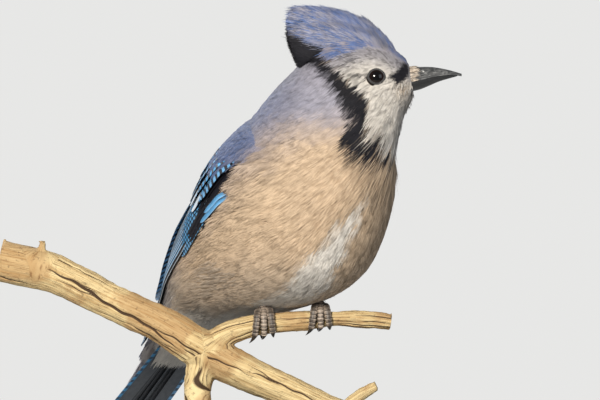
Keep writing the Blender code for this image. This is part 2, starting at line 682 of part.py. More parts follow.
def make_wings(collection):
    for side, name in ((-1, "wing_right"), (1, "wing_left")):
        fuse(name, [wing_arm(side, collection)] + wing_feathers(side, collection),
             [torso_solid(collection, GAP)])


def tail_direction():
    yaw, pitch = math.radians(TAIL_YAW), math.radians(TAIL_PITCH)
    return Vector((-math.cos(pitch) * math.cos(yaw), math.cos(pitch) * math.sin(yaw), -math.sin(pitch)))


def make_tail(collection):
    """The tail's root with twelve long feathers in a shallow roof, and the coverts over and under them."""
    rings = []
    for k in range(7):
        place = TAIL_ROOT - 0.035 - 1.45 * k / 6
        rings.append([body_point(place, 360 * i / 22, -4.2 * MM * (k / 6) ** 2) for i in range(22)])
    pieces = [loft("tail", rings, collection)]
    _, left, up = heading(TAIL_YAW, TAIL_PITCH)
    ahead = tail_direction()
    start = Vector(TAIL_BASE) * MM
    along, widths = feather_outline(4)
    for side in (-1, 1):
        for k, (out, reach) in enumerate(zip(TAIL_OUT, TAIL_REACH)):
            inner = 7.0
            outer = 4.6 - 0.4 * k
            level = 1.7 - LAYER / MM * (k + (1 if side > 0 and k == 0 else 0) + (1 if k > 0 else 0))
            axis = []
            for t in along:
                far = 0.22 + (reach - 0.22) * t
                across = side * out * MM * (TAIL_SPREAD + (1 - TAIL_SPREAD) * t)
                axis.append(start + ahead * (TAIL_LENGTH * far) + left * across + up * (level * MM))
            inner_widths = [min(inner * w, inner if k == 0 else out * (TAIL_SPREAD + (1 - TAIL_SPREAD) * t) - 0.3) * MM
                            for w, t in zip(widths, along)]
            outer_widths = [outer * w * MM for w in widths]
            sides = (outer_widths, inner_widths) if side < 0 else (inner_widths, outer_widths)
            pieces.append(vane("rectrix", axis, [up] * 5, sides[0], sides[1], 0, collection))
    for name, count, reach, spread, above in TAIL_COVERTS:
        for i in range(count):
            f = 2 * i / (count - 1) - 1
            rise = (3.6 if above > 0 else -5.2) - (0.85 if i % 2 else 0) * above
            end = reach * (1 - 0.12 * f * f)
            root = start + ahead * (TAIL_LENGTH * 0.205) + left * (spread * 0.6 * f * MM) + up * (rise * 0.7 * MM)
            middle = start + ahead * (TAIL_LENGTH * 0.34) + left * (spread * 0.8 * f * MM) + up * (rise * 1.15 * MM)
            tip = start + ahead * (TAIL_LENGTH * end) + left * (spread * f * MM) + up * (rise * MM)
            line = [root.lerp(middle, t).lerp(middle.lerp(tip, t), t) for t in along]
            wide = [3.6 * w * MM for w in widths]
            pieces.append(vane(name, line, [up * above] * 5, wide, wide, 0, collection))
    return fuse("tail", pieces, [torso_solid(collection, GAP)])


def make_stand(collection):
    base = bmesh.new()
    bmesh.ops.create_cone(base, cap_ends=True, segments=56, radius1=BASE_RADIUS, radius2=BASE_RADIUS,
                          depth=BASE_THICKNESS)
    rim = [e for e in base.edges if all(v.co.z > 0 for v in e.verts) and not e.is_boundary
           and abs(e.verts[0].co.length - e.verts[1].co.length) < 1e-7]
    bmesh.ops.bevel(base, geom=rim, offset=1.5 * MM, segments=2, affect="EDGES", profile=0.5)
    bmesh.ops.translate(base, verts=base.verts, vec=Vector((BASE_X * MM, BASE_Y * MM,
                                                            BASE_THICKNESS / 2 - PERCH_HEIGHT)))
    new_object("stand_base", base, collection)
    floor = BASE_THICKNESS - PERCH_HEIGHT
    for number, (x, y, top) in enumerate(RODS):
        rod = bmesh.new()
        height = top * MM - GAP - (floor + GAP)
        bmesh.ops.create_cone(rod, cap_ends=True, segments=24, radius1=ROD_RADIUS, radius2=ROD_RADIUS, depth=height)
        bmesh.ops.translate(rod, verts=rod.verts, vec=Vector((x * MM, y * MM, floor + GAP + height / 2)))
        fuse("stand_rod_%d" % (number + 1), [new_object("rod", rod, collection)],
             branch_pieces(collection, GAP, ("main", "stub")))


def main():
    for old in list(bpy.data.objects):
        bpy.data.objects.remove(old)
    bird = bpy.data.collections.new("blue_jay")
    bpy.context.scene.collection.children.link(bird)
    make_body(bird)
    make_head(bird)
    make_bill(bird)
    make_wings(bird)
    make_tail(bird)
    make_legs(bird)
    make_perch(bird)
    make_stand(bird)
    for piece in bird.objects:
        piece.location = piece.location + PERCH_PLACE
        for key, colour, roughness, metallic in LOOKS:
            if piece.name.startswith(key):
                piece.data.materials.clear()
                piece.data.materials.append(material(key, colour, roughness, metallic))
                break


main()
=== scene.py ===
"""Looks of a life-size blue jay that grips a cut length of forked branch on a plain display stand.

The sizes of the bird's parts are in mm from the middle of the side branch between its feet, as in the part's
own source. Every finished mesh is in metres, in the frame's own place.
"""

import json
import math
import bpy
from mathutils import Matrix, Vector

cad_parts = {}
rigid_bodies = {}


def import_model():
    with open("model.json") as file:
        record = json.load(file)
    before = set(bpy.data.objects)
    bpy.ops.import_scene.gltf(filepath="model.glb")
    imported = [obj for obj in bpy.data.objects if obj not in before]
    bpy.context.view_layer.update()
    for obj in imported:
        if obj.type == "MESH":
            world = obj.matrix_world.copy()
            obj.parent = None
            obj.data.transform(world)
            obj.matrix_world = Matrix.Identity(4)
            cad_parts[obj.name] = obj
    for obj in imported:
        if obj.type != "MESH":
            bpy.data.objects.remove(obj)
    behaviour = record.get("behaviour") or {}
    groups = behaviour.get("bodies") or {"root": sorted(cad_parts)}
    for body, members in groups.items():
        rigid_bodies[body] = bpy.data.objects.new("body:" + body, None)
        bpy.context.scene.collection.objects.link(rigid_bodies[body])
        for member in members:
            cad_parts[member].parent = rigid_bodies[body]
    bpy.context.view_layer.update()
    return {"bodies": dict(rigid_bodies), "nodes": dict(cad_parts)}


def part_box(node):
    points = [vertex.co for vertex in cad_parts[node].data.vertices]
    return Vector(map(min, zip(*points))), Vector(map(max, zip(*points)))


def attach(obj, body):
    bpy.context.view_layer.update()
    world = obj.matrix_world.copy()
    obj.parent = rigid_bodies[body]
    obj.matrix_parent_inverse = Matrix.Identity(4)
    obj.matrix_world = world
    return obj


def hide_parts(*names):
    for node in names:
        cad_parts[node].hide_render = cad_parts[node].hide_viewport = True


bl_info = {
    "name": "Blue jay on a branch",
    "version": (1, 0, 0),
    "blender": (4, 5, 0),
    "location": "3D View > Sidebar > Blue jay",
    "description": "Makes the plumage, bill, eyes, feet, branch and stand of a life-size blue jay model",
    "category": "Object",
}

import bpy
import numpy as np
from bpy.props import FloatProperty, FloatVectorProperty, IntProperty, PointerProperty
from mathutils import Vector, noise
from mathutils.kdtree import KDTree

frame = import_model()

MM = 0.001
BODY = sorted(frame["bodies"])[0]
SPOT = np.array((14.0, -8.0, 68.0))            # the side branch between the feet, from the base's middle

# Cross-sections from tail to bill: x, y, z, yaw, pitch, half width, depth to the back and depth to the belly
TAIL_YAW, TAIL_PITCH, BODY_YAW = 50, 40, 53
SECTIONS = np.array((
    (-71.5, 101.5, -42, TAIL_YAW, TAIL_PITCH, 13, 3, 3),
    (-62.2, 89, -29.4, TAIL_YAW, TAIL_PITCH, 14.5, 4, 4),
    (-53, 76.7, -16.6, TAIL_YAW, TAIL_PITCH, 16, 5, 6),
    (-43.7, 64.5, -3.7, BODY_YAW, 40, 19.5, 6, 9),
    (-34, 52, 8, BODY_YAW, 40, 26.5, 9, 14),
    (-26, 41, 17, BODY_YAW, 41, 33, 14, 22),
    (-18, 28, 28, BODY_YAW, 43, 35.5, 21, 33),
    (-9, 14, 39, BODY_YAW, 45, 39, 27, 43),
    (-1, 3, 50, BODY_YAW, 46, 40.5, 30.5, 48),
    (6, -6, 61, 52, 48, 39, 31, 46),
    (13, -13.5, 73, 46, 53, 34.5, 33, 41),
    (18, -18, 83, 32, 56, 29, 33, 35),
    (25, -22, 93, 14, 50, 22, 30, 28.5),
    (31, -24, 101.5, 5, 40, 18, 27.5, 26),
    (37, -25, 106.5, 2, 30.6, 16, 24.5, 23.5),
    (43, -25.5, 109, 2, 23, 14.3, 19, 18.5),
    (48.7, -25.7, 109.7, 2, 17.7, 11.6, 12.6, 13),
    (54, -25.9, 109.3, 2, 9.5, 6.8, 6.2, 7)), float)
HEAD_MIDDLE = -25.9                            # the head's middle plane
EYE_PLACE, EYE_ANGLE = 14.4, 87
EYE_RADIUS, EYE_SHOWN = 4.7, 3.2
PUPIL = (0.002, 0.002, 0.002)
EYE_DEPTH = math.sqrt(EYE_RADIUS ** 2 - EYE_SHOWN ** 2)      # from an eyeball's centre to its shown rim
LIDS = ((0.0, 0.32, 0.05), (0.42, 0.26, -0.2))  # rims beyond the shown eye, their thickness and their lift

LEGS = {"right": ((-24, 20, 24), (-18, 7.5, 13.5), -11.8), "left": ((8, 17, 26), (12.5, 6.5, 14), 13.6)}
SHANK_RADII = (1.6, 1.35, 1.25, 1.2, 1.25, 1.4, 1.7)
PAD_RADIUS, TOE_RADIUS, FOOT_GAP = 2.5, 1.35, 0.3
TOE_FULL, SCUTE = 1.18, 1.5                    # the skin's fullness over its solid, and a plate's length
TOES = ((-2.4, 126, -1.6, 4.6, -2.6), (0.0, 128, 0.2, 2.4, -1.2), (2.6, 122, 1.5, 1.4, 0.4),
        (-0.3, -112, -0.8, 2.0, 0.0))

BRANCHES = (
    ("main", ((-131, 1, 26.5, 9.2), (-108, 1, 21.4, 9.0), (-81, 0.5, 8.6, 7.9), (-58, 0, -2.3, 8.2),
              (-38, 0, -14.4, 9.2), (-18, 0, -24.8, 8.0), (4.5, 0.5, -34.7, 7.2), (27, 1, -45, 6.8)), 90, 40),
    ("side", ((-38, 0, -13.5, 7.0), (-29.3, 0, -6.8, 5.6), (-19.4, 0, -3.4, 4.8), (-5.9, 0, -1.4, 4.7),
              (4.5, 0, -0.4, 4.4), (18, 0, 0.7, 3.6), (38.3, 0, 0, 3.9), (45.5, 0, -0.9, 3.2)), 60, 28),
    ("stub", ((-38, 0, -14, 7.5), (-41.4, 0.3, -29.3, 6.0), (-41, 0.5, -41, 5.6)), 30, 28),
    ("knob", ((-113, 0, 24, 3.4), (-112, -1, 31, 2.2), (-111.3, -1.5, 35.6, 1.7)), 10, 16),
    ("twig", ((24, 0, -40, 3.2), (32, -1, -33.5, 2.4), (39, -2, -29.6, 1.8)), 14, 16),
)

# Longest splits: branch, start and end along it, angle round it from the top at both, half width
SPLITS = ((0, 18, 92, -1.35, -2.15, 0.75), (0, 70, 128, -1.95, -1.5, 0.5), (0, 120, 172, -1.1, -1.6, 0.45),
          (0, 2, 60, -0.9, -0.6, 0.4), (1, 20, 70, -1.0, -1.5, 0.35))
SPLIT_EDGE = 1.6                               # mm over which a split's edge falls off
SPLIT_STEP = 4.5                               # mm of branch for each short split

# Crest, from forehead to nape: root x and z on the crown, tip x and z, and half its width
CREST = np.array((
    (51, 115.5, 49, 118.5, 3.0), (48, 117.5, 43, 125, 5.6), (44, 121, 37, 130.5, 7.2),
    (39, 124, 28, 135.5, 8.0), (34, 126, 17, 139, 8.4), (28, 127, 6, 140, 8.2), (22, 126.5, -0.6, 138, 7.6),
    (16, 124, -1.2, 131.5, 6.8), (10, 119.5, 0, 124.5, 5.6), (6, 115, 4, 116.5, 2.5)), float)
BILL_TURN = -0.035
BILL_UPPER = np.array(((51.5, 112.6, 105.7, 5.4), (54.4, 113.2, 106.3, 5.3), (58, 113.4, 107.3, 4.7),
                       (63.5, 113.3, 108.7, 3.7), (69, 112.4, 109.5, 2.6), (73.4, 111.3, 109.6, 1.7),
                       (76.6, 110.3, 109.2, 0.8)))
BILL_LOWER = np.array(((51.5, 102.3, 105.9, 5.1), (54.4, 102.5, 106.5, 5.0), (58, 103.3, 107.5, 4.4),
                       (62, 104.9, 108.6, 3.5), (67, 107.0, 109.5, 2.4), (74.6, 109.2, 109.75, 0.6)))

# The folded wing: places along the body, and from shoulder to tip its edges' angles and its feathers' lift
WING_START, WING_END = 10.3, 2.0
WING_LOW = (86, 92, 91, 84, 74)
WING_HIGH = (34, 24, 24, 36, 66)
WING_OFF = (1.6, 1.9, 2.1, 4.6, 3.4)
WING_STACK = 1.6
FLIGHT_TIPS = (0.90, 0.97, 1.0, 0.96, 0.91, 0.86, 0.80, 0.77, 0.74, 0.66, 0.57)
FLIGHT_FEATHERS, PRIMARIES = 19, 10

# Rows over them: count, start, ends, spread across the wing, lift over flight feathers, half width, looks.
# They are feathers under the coverts, primary, dark, greater and median coverts, and the alula
COVERTS = (
    (6, 0.12, (0.38, 0.36), (0.03, 0.5), 0.1, 2.6, {"dark": 1.0}),
    (7, 0.28, (0.51, 0.44), (0.02, 0.34), 0.9, 1.5, {"bars": 0.8, "bar_gap": 2.4, "web": 0.1}),
    (3, 0.26, (0.43, 0.42), (0.03, 0.12), 1.3, 1.4, {"dark": 1.0}),
    (7, 0.13, (0.365, 0.385), (0.27, 0.94), 1.5, 3.3, {"bars": 1.0, "bar_gap": 3.0, "tip": 0.32, "web": 0.5}),
    (7, 0.06, (0.285, 0.285), (0.22, 0.96), 2.0, 3.1, {"bars": 1.0, "bar_gap": 3.2, "tip": 0.0, "web": 0.9}),
    (2, 0.15, (0.34, 0.30), (0.035, 0.06), 1.5, 1.35,
     {"chance": 0.35, "web": 0.7, "edge": 0.35, "dark_root": 0.3, "drop": 0.1, "root_lift": -1.5}))

TAIL_BASE = np.array((-25.3, 40.2, 22.2))
TAIL_LENGTH = 118
TAIL_OUT = (2.2, 5.4, 8.4, 11.0, 13.2, 15.0)
TAIL_REACH = (1.0, 0.995, 0.98, 0.96, 0.93, 0.89)
TAIL_SPREAD = 0.74

SOFTNESS = 0.84                                # how far the coat is shaded like the smooth body under it

# Depth of the coat and length of its feathers, by place along the body
COAT_PLACES = (2.2, 4, 6, 10, 12, 13, 14, 15, 16.3, 17)
COAT_DEPTHS = (1.2, 2.2, 3.0, 3.0, 2.4, 1.8, 1.3, 1.0, 0.6, 0.3)
COAT_LENGTHS = (11, 14, 15, 13.5, 9.5, 7.0, 5.0, 3.8, 2.6, 2.2)

# Edges of the markings. The collar's two edges are places along the body by the angle round from the back
COLLAR_ANGLES = (0, 13, 43, 60, 76, 90, 100, 108, 113, 118, 130, 150, 180)
COLLAR_REAR = (12.35, 12.4, 12.5, 12.5, 12.4, 12.3, 12.2, 12.05, 11.68, 11.5, 11.5, 11.55, 11.6)
COLLAR_FRONT = (12.95, 12.95, 12.9, 12.85, 12.95, 12.95, 13.2, 13.1, 12.7, 12.25, 12.0, 12.0, 11.85)
MANTLE_PLACES = (2, 6, 9, 10.0, 10.6, 11.0, 11.5, 11.8, 12.4)
MANTLE_ANGLES = (78, 66, 74, 78, 80, 83, 94, 106, 116)
STREAK_PLACES = (6.5, 7.3, 8.1, 8.6, 9.2, 9.65, 10.1)  # the white parting down the belly
STREAK_ANGLES = (-166, -167, -165, -165, -166, -168, -169)
STREAK_WIDTHS = (13, 13, 13, 11, 8.5, 6, 3)
CROWN_X = (18.5, 23, 28.4, 34.7, 41.4, 47.3, 51.3)     # the crown's blue starts above these heights
CROWN_Z = (116.5, 118.6, 120.6, 122.2, 121.2, 117.6, 115.0)
NAPE_X = (-1, 10, 13.5, 18.5, 23)                      # and the crest is black below these
NAPE_Z = (130.2, 121.5, 118.5, 114, 111)
LORES = ((43.3, 109.4), (46, 110.3), (48.9, 113.0), (50.2, 115.4), (52.6, 115.0), (53.1, 111.4),
         (51.7, 107.8), (47.9, 104.6), (46.6, 104.8), (46.2, 107.1), (43.3, 107.6))
EYE_LINE = ((37.5, 109.3), (29.7, 109.6), (25.6, 109.9), (25.6, 108.5), (29.7, 107.9), (37.5, 107.3))

PATCH_LENGTH, PATCH_HALF = 0.003, 0.0014       # a feather's own patch on the coat's map
WING_ROW = {-1: 0.82, 1: 0.86}                 # where the wings' feathers lie on that map, right and left
FACE_GAP = 1.25                                # the face's feathers are set wider against their length
SEEDS = {"coat": 11, "face": 12, "crest": 13, "wings": 21, "tail": 31, "eyes": 41, "feet": 51, "splits": 61}

PHOTO_WIDTH, PHOTO_SCALE = 600, 0.45           # the photograph's width in pixels, and mm for each pixel
VIEW_CENTRE = (4.5, 54)                        # its middle across and up, in mm
FLOOR_RINGS = (0.02, 0.1, 0.2, 0.3, 0.4, 0.5)  # radii of the floor's rings, in m
FLOOR_SIDES = 96
FLOOR_FADE = (0.22, 0.48)                      # where it fades out, in m
LIGHT_TARGET = (0.02, -0.02, 0.13)


def smooth(values, place):
    """Values at places, counted in steps of the list, on a smooth curve through the list."""
    values, place = np.asarray(values, float), np.asarray(place, float)
    last = len(values) - 1
    i = np.clip(place.astype(int), 0, last - 1)
    f = place - i
    longer = np.concatenate([[2 * values[0] - values[1]], values, [2 * values[-1] - values[-2]]])
    p0, p1, p2, p3 = longer[i], longer[i + 1], longer[i + 2], longer[i + 3]
    if values.ndim > 1:
        f = f[..., None]
    return 0.5 * (2 * p1 + (p2 - p0) * f + (2 * p0 - 5 * p1 + 4 * p2 - p3) * f * f
                  + (3 * p1 - p0 - 3 * p2 + p3) * f ** 3)


def unit(v):
    """Vectors scaled to length 1."""
    return v / np.maximum(np.linalg.norm(v, axis=-1, keepdims=True), 1e-9)


def soft_step(value, width):
    """0 well below zero and 1 well above it, over a width."""
    f = np.clip(value / width * 0.5 + 0.5, 0, 1)
    return f * f * (3 - 2 * f)


def degrees_off(angle):
    """How far an angle is from 0 in degrees, whichever way round."""
    return np.abs((angle + 180) % 360 - 180)


def distances(points):
    """How far along a line of points each of them lies."""
    return np.concatenate([[0], np.cumsum(np.linalg.norm(np.diff(points, axis=0), axis=1))])


def directions(axis, angle):
    """Directions square to an axis, at angles round it."""
    one = unit(np.cross(axis, (0, 0, 1.0)))
    two = np.cross(axis, one)
    return one * np.cos(angle)[:, None] + two * np.sin(angle)[:, None]


def body_point(place, angle, lift=0.0):
    """Points off the body's surface. Angle 0 is mid back and 90 is the bird's left side."""
    s = smooth(SECTIONS, place)
    yaw, pitch = np.radians(s[..., 3]), np.radians(s[..., 4])
    ahead = np.stack([np.cos(pitch) * np.cos(yaw), -np.cos(pitch) * np.sin(yaw), np.sin(pitch)], -1)
    left = np.stack([np.sin(yaw), np.cos(yaw), 0 * yaw], -1)
    up = np.cross(ahead, left)
    c, k = np.cos(np.radians(angle)), np.sin(np.radians(angle))
    depth = np.where(c > 0, s[..., 6], s[..., 7])
    return s[..., :3] + left * ((s[..., 5] + lift) * k)[..., None] + up * ((depth + lift) * c)[..., None]


def body_slopes(place, angle):
    """How a surface point moves for each place along the body and for each degree round it."""
    step, turn = 0.05, 3.0
    along = (body_point(place + step, angle) - body_point(place - step, angle)) / (2 * step)
    across = (body_point(place, angle + turn) - body_point(place, angle - turn)) / (2 * turn)
    return along, across


def body_normal(place, angle):
    """The way out of the body at its surface points."""
    along, across = body_slopes(place, angle)
    return unit(np.cross(along, across))


def crest_spot(row, angle, height, slim=1.0):
    """Points of the crest: rows run from forehead to nape, and the angle goes round from the crown's top."""
    s = smooth(CREST, row)
    middle = np.full_like(s[..., 0], HEAD_MIDDLE)
    drop = 4 + 4 * soft_step(row - 5.5, 3.0) - 2.5 * np.clip(row - 7, 0, 2)
    base = np.stack([s[..., 0], middle, s[..., 1] - drop], -1)
    top = np.stack([s[..., 0] + (s[..., 2] - s[..., 0]) * height, middle,
                    s[..., 1] + (s[..., 3] - s[..., 1]) * height], -1)
    rise = 0.5 + 0.5 * np.cos(np.radians(angle))
    point = base + (top - base) * rise[..., None]
    around = np.sin(np.radians(angle))
    flare = np.sign(around) * 1.3 * np.clip(0.5 - rise, 0, 0.5) * (slim == 1.0)
    point[..., 1] += slim * s[..., 4] * (around * (1 - 0.5 * rise) + flare)
    return point


def in_shape(x, z, corners, soft):
    """A mask of the points inside a closed outline, with a soft edge."""
    inside = np.zeros(x.shape, bool)
    near = np.full(x.shape, 1e9)
    for (x0, z0), (x1, z1) in zip(corners, corners[1:] + corners[:1]):
        crosses = (z0 > z) != (z1 > z)
        slope = (x1 - x0) / (z1 - z0) if z1 != z0 else 0.0
        inside ^= crosses & (x < x0 + (z - z0) * slope)
        t = np.clip(((x - x0) * (x1 - x0) + (z - z0) * (z1 - z0)) / ((x1 - x0) ** 2 + (z1 - z0) ** 2), 0, 1)
        near = np.minimum(near, np.hypot(x - x0 - t * (x1 - x0), z - z0 - t * (z1 - z0)))
    return soft_step(np.where(inside, near, -near), soft)


def markings(place, angle, points):
    """How blue, black, white and violet the plumage is at points of the body. The rest is buff."""
    turn = degrees_off(angle)
    x, z = points[..., 0], points[..., 2]
    rear = np.interp(turn, COLLAR_ANGLES, COLLAR_REAR)
    front = np.interp(turn, COLLAR_ANGLES, COLLAR_FRONT)
    head = soft_step(place - front, 0.08)
    above = z - np.interp(x, CROWN_X, CROWN_Z)
    crown = head * soft_step(above, 1.6) * soft_step(53.5 - x, 1.0)
    black = soft_step(place - rear, 0.1) * (1 - head)
    sideways = soft_step(np.abs(points[..., 1] - HEAD_MIDDLE) - 3.0, 2.0)
    black = np.maximum(black, in_shape(x, z, LORES, 1.0) * soft_step(place - 15.0, 0.4) * sideways)
    black = np.maximum(black, 0.9 * in_shape(x, z, EYE_LINE, 0.8) * head * sideways)
    behind = np.interp(place, MANTLE_PLACES, MANTLE_ANGLES) - turn
    mantle = soft_step(behind, 34) * (1 - soft_step(place - rear - 0.35, 0.2))
    gape = 0.6 * np.exp(-((x - 51) ** 2 + (z - 103) ** 2) / 14.0)
    # The upper face a little darker: painted shade on the cheek
    cheek_shade = 0.15 * head * soft_step(z - 102, 10.0)
    # Grey over the brow: the brow's own grey streaks, and partly painted shade
    brow = 0.8 * soft_step(above + 6.5, 5.0) * head * (1 - crown)
    back = 0.8 * soft_step(68 - turn, 42) * (1 - soft_step(place - 11.3, 1.2))
    shade = 0.25 * mantle * soft_step(11.5 - place, 1.0)
    blue = np.maximum(crown, mantle * np.maximum(soft_step(6.5 - place, 3.0) * 0.7, back))
    aside = degrees_off(angle - np.interp(place, STREAK_PLACES, STREAK_ANGLES))
    streak = soft_step(np.interp(place, STREAK_PLACES, STREAK_WIDTHS) - aside, 4)
    streak = streak * soft_step(10.3 - place, 0.5)
    vent = soft_step(turn - 128, 26) * soft_step(7.4 - place, 1.8)
    under = soft_step(4.8 - place, 1.4) * soft_step(turn - 80, 24)
    white = np.maximum(np.maximum(head * (1 - crown), streak), np.maximum(vent * 0.35, under))
    dark = np.maximum(np.maximum(black, shade), np.maximum(0.3 * brow, cheek_shade))
    return np.stack([blue, dark, white * (1 - mantle) * (1 - gape), np.maximum(mantle, brow)], -1)


def marks_of(count, blue=0.0, black=0.0, white=0.0, violet=0.0):
    """The same four marks as markings gives, for feathers whose colours are set one by one."""
    marks = (blue, black, white, violet)
    return np.stack([np.broadcast_to(np.asarray(mark, float), count) for mark in marks], -1)


def joined(batches):
    """One set of arrays from several, with the triangles renumbered."""
    out, start = {}, 0
    tris = []
    for batch in batches:
        tris.append(batch["tris"] + start)
        start += len(batch["points"])
    out["tris"] = np.concatenate(tris)
    for key in batches[0]:
        if key != "tris":
            out[key] = np.concatenate([batch[key] for batch in batches])
    return out


def mesh_from(name, data, material, sharp=None):
    """A mesh object in the frame, from points in mm, triangles and colour attributes."""
    points = (np.asarray(data["points"]) + SPOT) * MM
    tris = np.asarray(data["tris"], np.int32)
    mesh = bpy.data.meshes.new(name)
    mesh.vertices.add(len(points))
    mesh.vertices.foreach_set("co", points.astype(np.float32).ravel())
    mesh.loops.add(tris.size)
    mesh.loops.foreach_set("vertex_index", tris.ravel())
    mesh.polygons.add(len(tris))
    mesh.polygons.foreach_set("loop_start", np.arange(0, tris.size, 3, dtype=np.int32))
    mesh.update(calc_edges=True)
    for key in ("marks", "fine"):
        if key in data:
            layer = mesh.attributes.new(key, "FLOAT_COLOR", "POINT")
            layer.data.foreach_set("color", np.asarray(data[key], np.float32).ravel())
    if "uv" in data:
        layer = mesh.uv_layers.new(name="OFBake")
        layer.data.foreach_set("uv", np.asarray(data["uv"], np.float32)[tris.ravel()].ravel())
    mesh.polygons.foreach_set("use_smooth", np.ones(len(tris), bool))
    if sharp:
        mesh.set_sharp_from_angle(angle=math.radians(sharp))
    if "soft" in data:
        facing = np.empty(len(points) * 3, np.float32)
        mesh.vertex_normals.foreach_get("vector", facing)
        facing = unit(facing.reshape(-1, 3) * (1 - SOFTNESS) + np.asarray(data["soft"]) * SOFTNESS)
        mesh.normals_split_custom_set_from_vertices(facing)
    mesh.materials.append(material)
    piece = bpy.data.objects.new(name, mesh)
    bpy.context.scene.collection.objects.link(piece)
    return piece


def settle(piece, *nodes):
    """The piece rides on the model's one body and stands for the named nodes."""
    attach(piece, BODY)
    if nodes:
        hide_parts(*nodes)


# Shader helpers
def wire(tree, kind, values=None, **settings):
    """A shader node with its settings. Its inputs are given by name, as values or as other nodes' sockets."""
    node = tree.nodes.new(kind)
    for key, value in settings.items():
        setattr(node, key, value)
    for key, value in (values or {}).items():
        socket = node.inputs[key]
        if isinstance(value, bpy.types.NodeSocket):
            tree.links.new(value, socket)
        else:
            socket.default_value = value
    return node


def maths(tree, operation, a, b=0.0, c=None):
    """The output of a math node."""
    values = {0: a, 1: b} if c is None else {0: a, 1: b, 2: c}
    return wire(tree, "ShaderNodeMath", values, operation=operation).outputs[0]


def blend(tree, amount, a, b, mode="MIX"):
    """A colour mixed from two by an amount."""
    return wire(tree, "ShaderNodeMix", {0: amount, 6: a, 7: b}, data_type="RGBA", blend_type=mode).outputs[2]


def ramp(tree, value, low, high, out_low=0.0, out_high=1.0):
    """A value carried from one range into another."""
    return wire(tree, "ShaderNodeMapRange", {"Value": value, "From Min": low, "From Max": high,
                                             "To Min": out_low, "To Max": out_high}).outputs[0]


def four(tree, name):
    """The four channels of a colour attribute."""
    node = wire(tree, "ShaderNodeAttribute", attribute_name=name)
    parts = wire(tree, "ShaderNodeSeparateColor", {0: node.outputs["Color"]})
    return parts.outputs[0], parts.outputs[1], parts.outputs[2], node.outputs["Alpha"]


def position(tree):
    """Where a point of the surface is."""
    return wire(tree, "ShaderNodeNewGeometry").outputs["Position"]


def shaded(tree, colour, light):
    """A colour made lighter or darker by a value."""
    grey = wire(tree, "ShaderNodeCombineColor", {0: light, 1: light, 2: light}).outputs[0]
    return blend(tree, 1.0, colour, grey, "MULTIPLY")


def scaled(colour, factor):
    """A plain colour made lighter or darker."""
    return tuple(min(1.0, factor * part) for part in colour)


def rgba(colour):
    """A colour with full opacity, as a socket takes it."""
    return (*colour, 1.0)


def effect(name, inputs, outputs):
    """An empty shader group with named sockets, or None in place of its input if it is there already."""
    group = bpy.data.node_groups.get(name)
    if group:
        return group, None, None
    group = bpy.data.node_groups.new(name, "ShaderNodeTree")
    for kind, table in (("INPUT", inputs), ("OUTPUT", outputs)):
        for key, form in table.items():
            group.interface.new_socket(key, in_out=kind, socket_type="NodeSocket" + form)
    return group, group.nodes.new("NodeGroupInput"), group.nodes.new("NodeGroupOutput")


def finish(name, roughness=0.6, metallic=0.0, **constants):
    """A new material with its tree and its Principled shader, whose plain values sit on its own sockets."""
    made = bpy.data.materials.new(name)
    made.use_nodes = True
    tree = made.node_tree
    shader = tree.nodes["Principled BSDF"]
    shader.inputs["Roughness"].default_value = roughness
    shader.inputs["Metallic"].default_value = metallic
    for key, value in constants.items():
        shader.inputs[key.replace("_", " ")].default_value = value
    return made, tree, shader


def bump(tree, shader, height, strength, distance):
    """Raises the shader's surface by a height."""
    node = wire(tree, "ShaderNodeBump", {"Height": height, "Strength": strength, "Distance": distance})
    tree.links.new(node.outputs[0], shader.inputs["Normal"])


def plumage_effect():
    """Colours of body feathers from their markings, each barb a little lighter or darker, each root in painted
    shade.
    """
    group, given, out = effect(
        "Plumage", {"Blue": "Color", "Violet": "Color", "Black": "Color", "White": "Color", "Buff": "Color",
                    "Mottling": "Float"}, {"Color": "Color", "Height": "Float"})
    if given is None:
        return group
    blue, black, white, violet = four(group, "marks")
    feather, barb, along, across = four(group, "fine")
    noisy = {"Vector": position(group), "Scale": 90.0, "Detail": 3.0}
    broad = wire(group, "ShaderNodeTexNoise", noisy).outputs[0]
    colour = blend(group, white, given.outputs["Buff"], given.outputs["White"])
    colour = blend(group, violet, colour, given.outputs["Violet"])
    pale = maths(group, "MULTIPLY", maths(group, "GREATER_THAN", barb, 0.66), given.outputs["Mottling"])
    mottled = blend(group, pale, given.outputs["Blue"], given.outputs["Violet"])
    colour = blend(group, blue, colour, mottled)
    colour = blend(group, black, colour, given.outputs["Black"])
    light = maths(group, "ADD", ramp(group, barb, 0, 1, 0.88, 1.12),
                  ramp(group, feather, 0, 1, -0.025, 0.025))
    # Each feather darker towards its root: painted shade under the feathers that overlap it
    light = maths(group, "MULTIPLY", light, ramp(group, along, 0.1, 0.9, 0.9, 1.02))
    light = maths(group, "MULTIPLY", light, ramp(group, broad, 0.3, 0.7, 0.88, 1.08))
    group.links.new(shaded(group, colour, light), out.inputs["Color"])
    group.links.new(maths(group, "ADD", barb, across), out.inputs["Height"])
    return group


def plumage_material(context, name="plumage", mottling=0.4):
    """Soft feathers in the bird's colours."""
    made = bpy.data.materials.get(name)
    if made:
        return made
    colours = context.scene.jay_plumage
    made, tree, shader = finish(name, 0.72, Specular_IOR_Level=0.18, Sheen_Weight=0.05, Sheen_Roughness=0.5)
    node = wire(tree, "ShaderNodeGroup", node_tree=plumage_effect())
    for key in ("Blue", "Violet", "Black", "White", "Buff"):
        node.inputs[key].default_value = rgba(getattr(colours, key.lower()))
    node.inputs["Mottling"].default_value = mottling
    tree.links.new(node.outputs["Color"], shader.inputs["Base Color"])
    return made


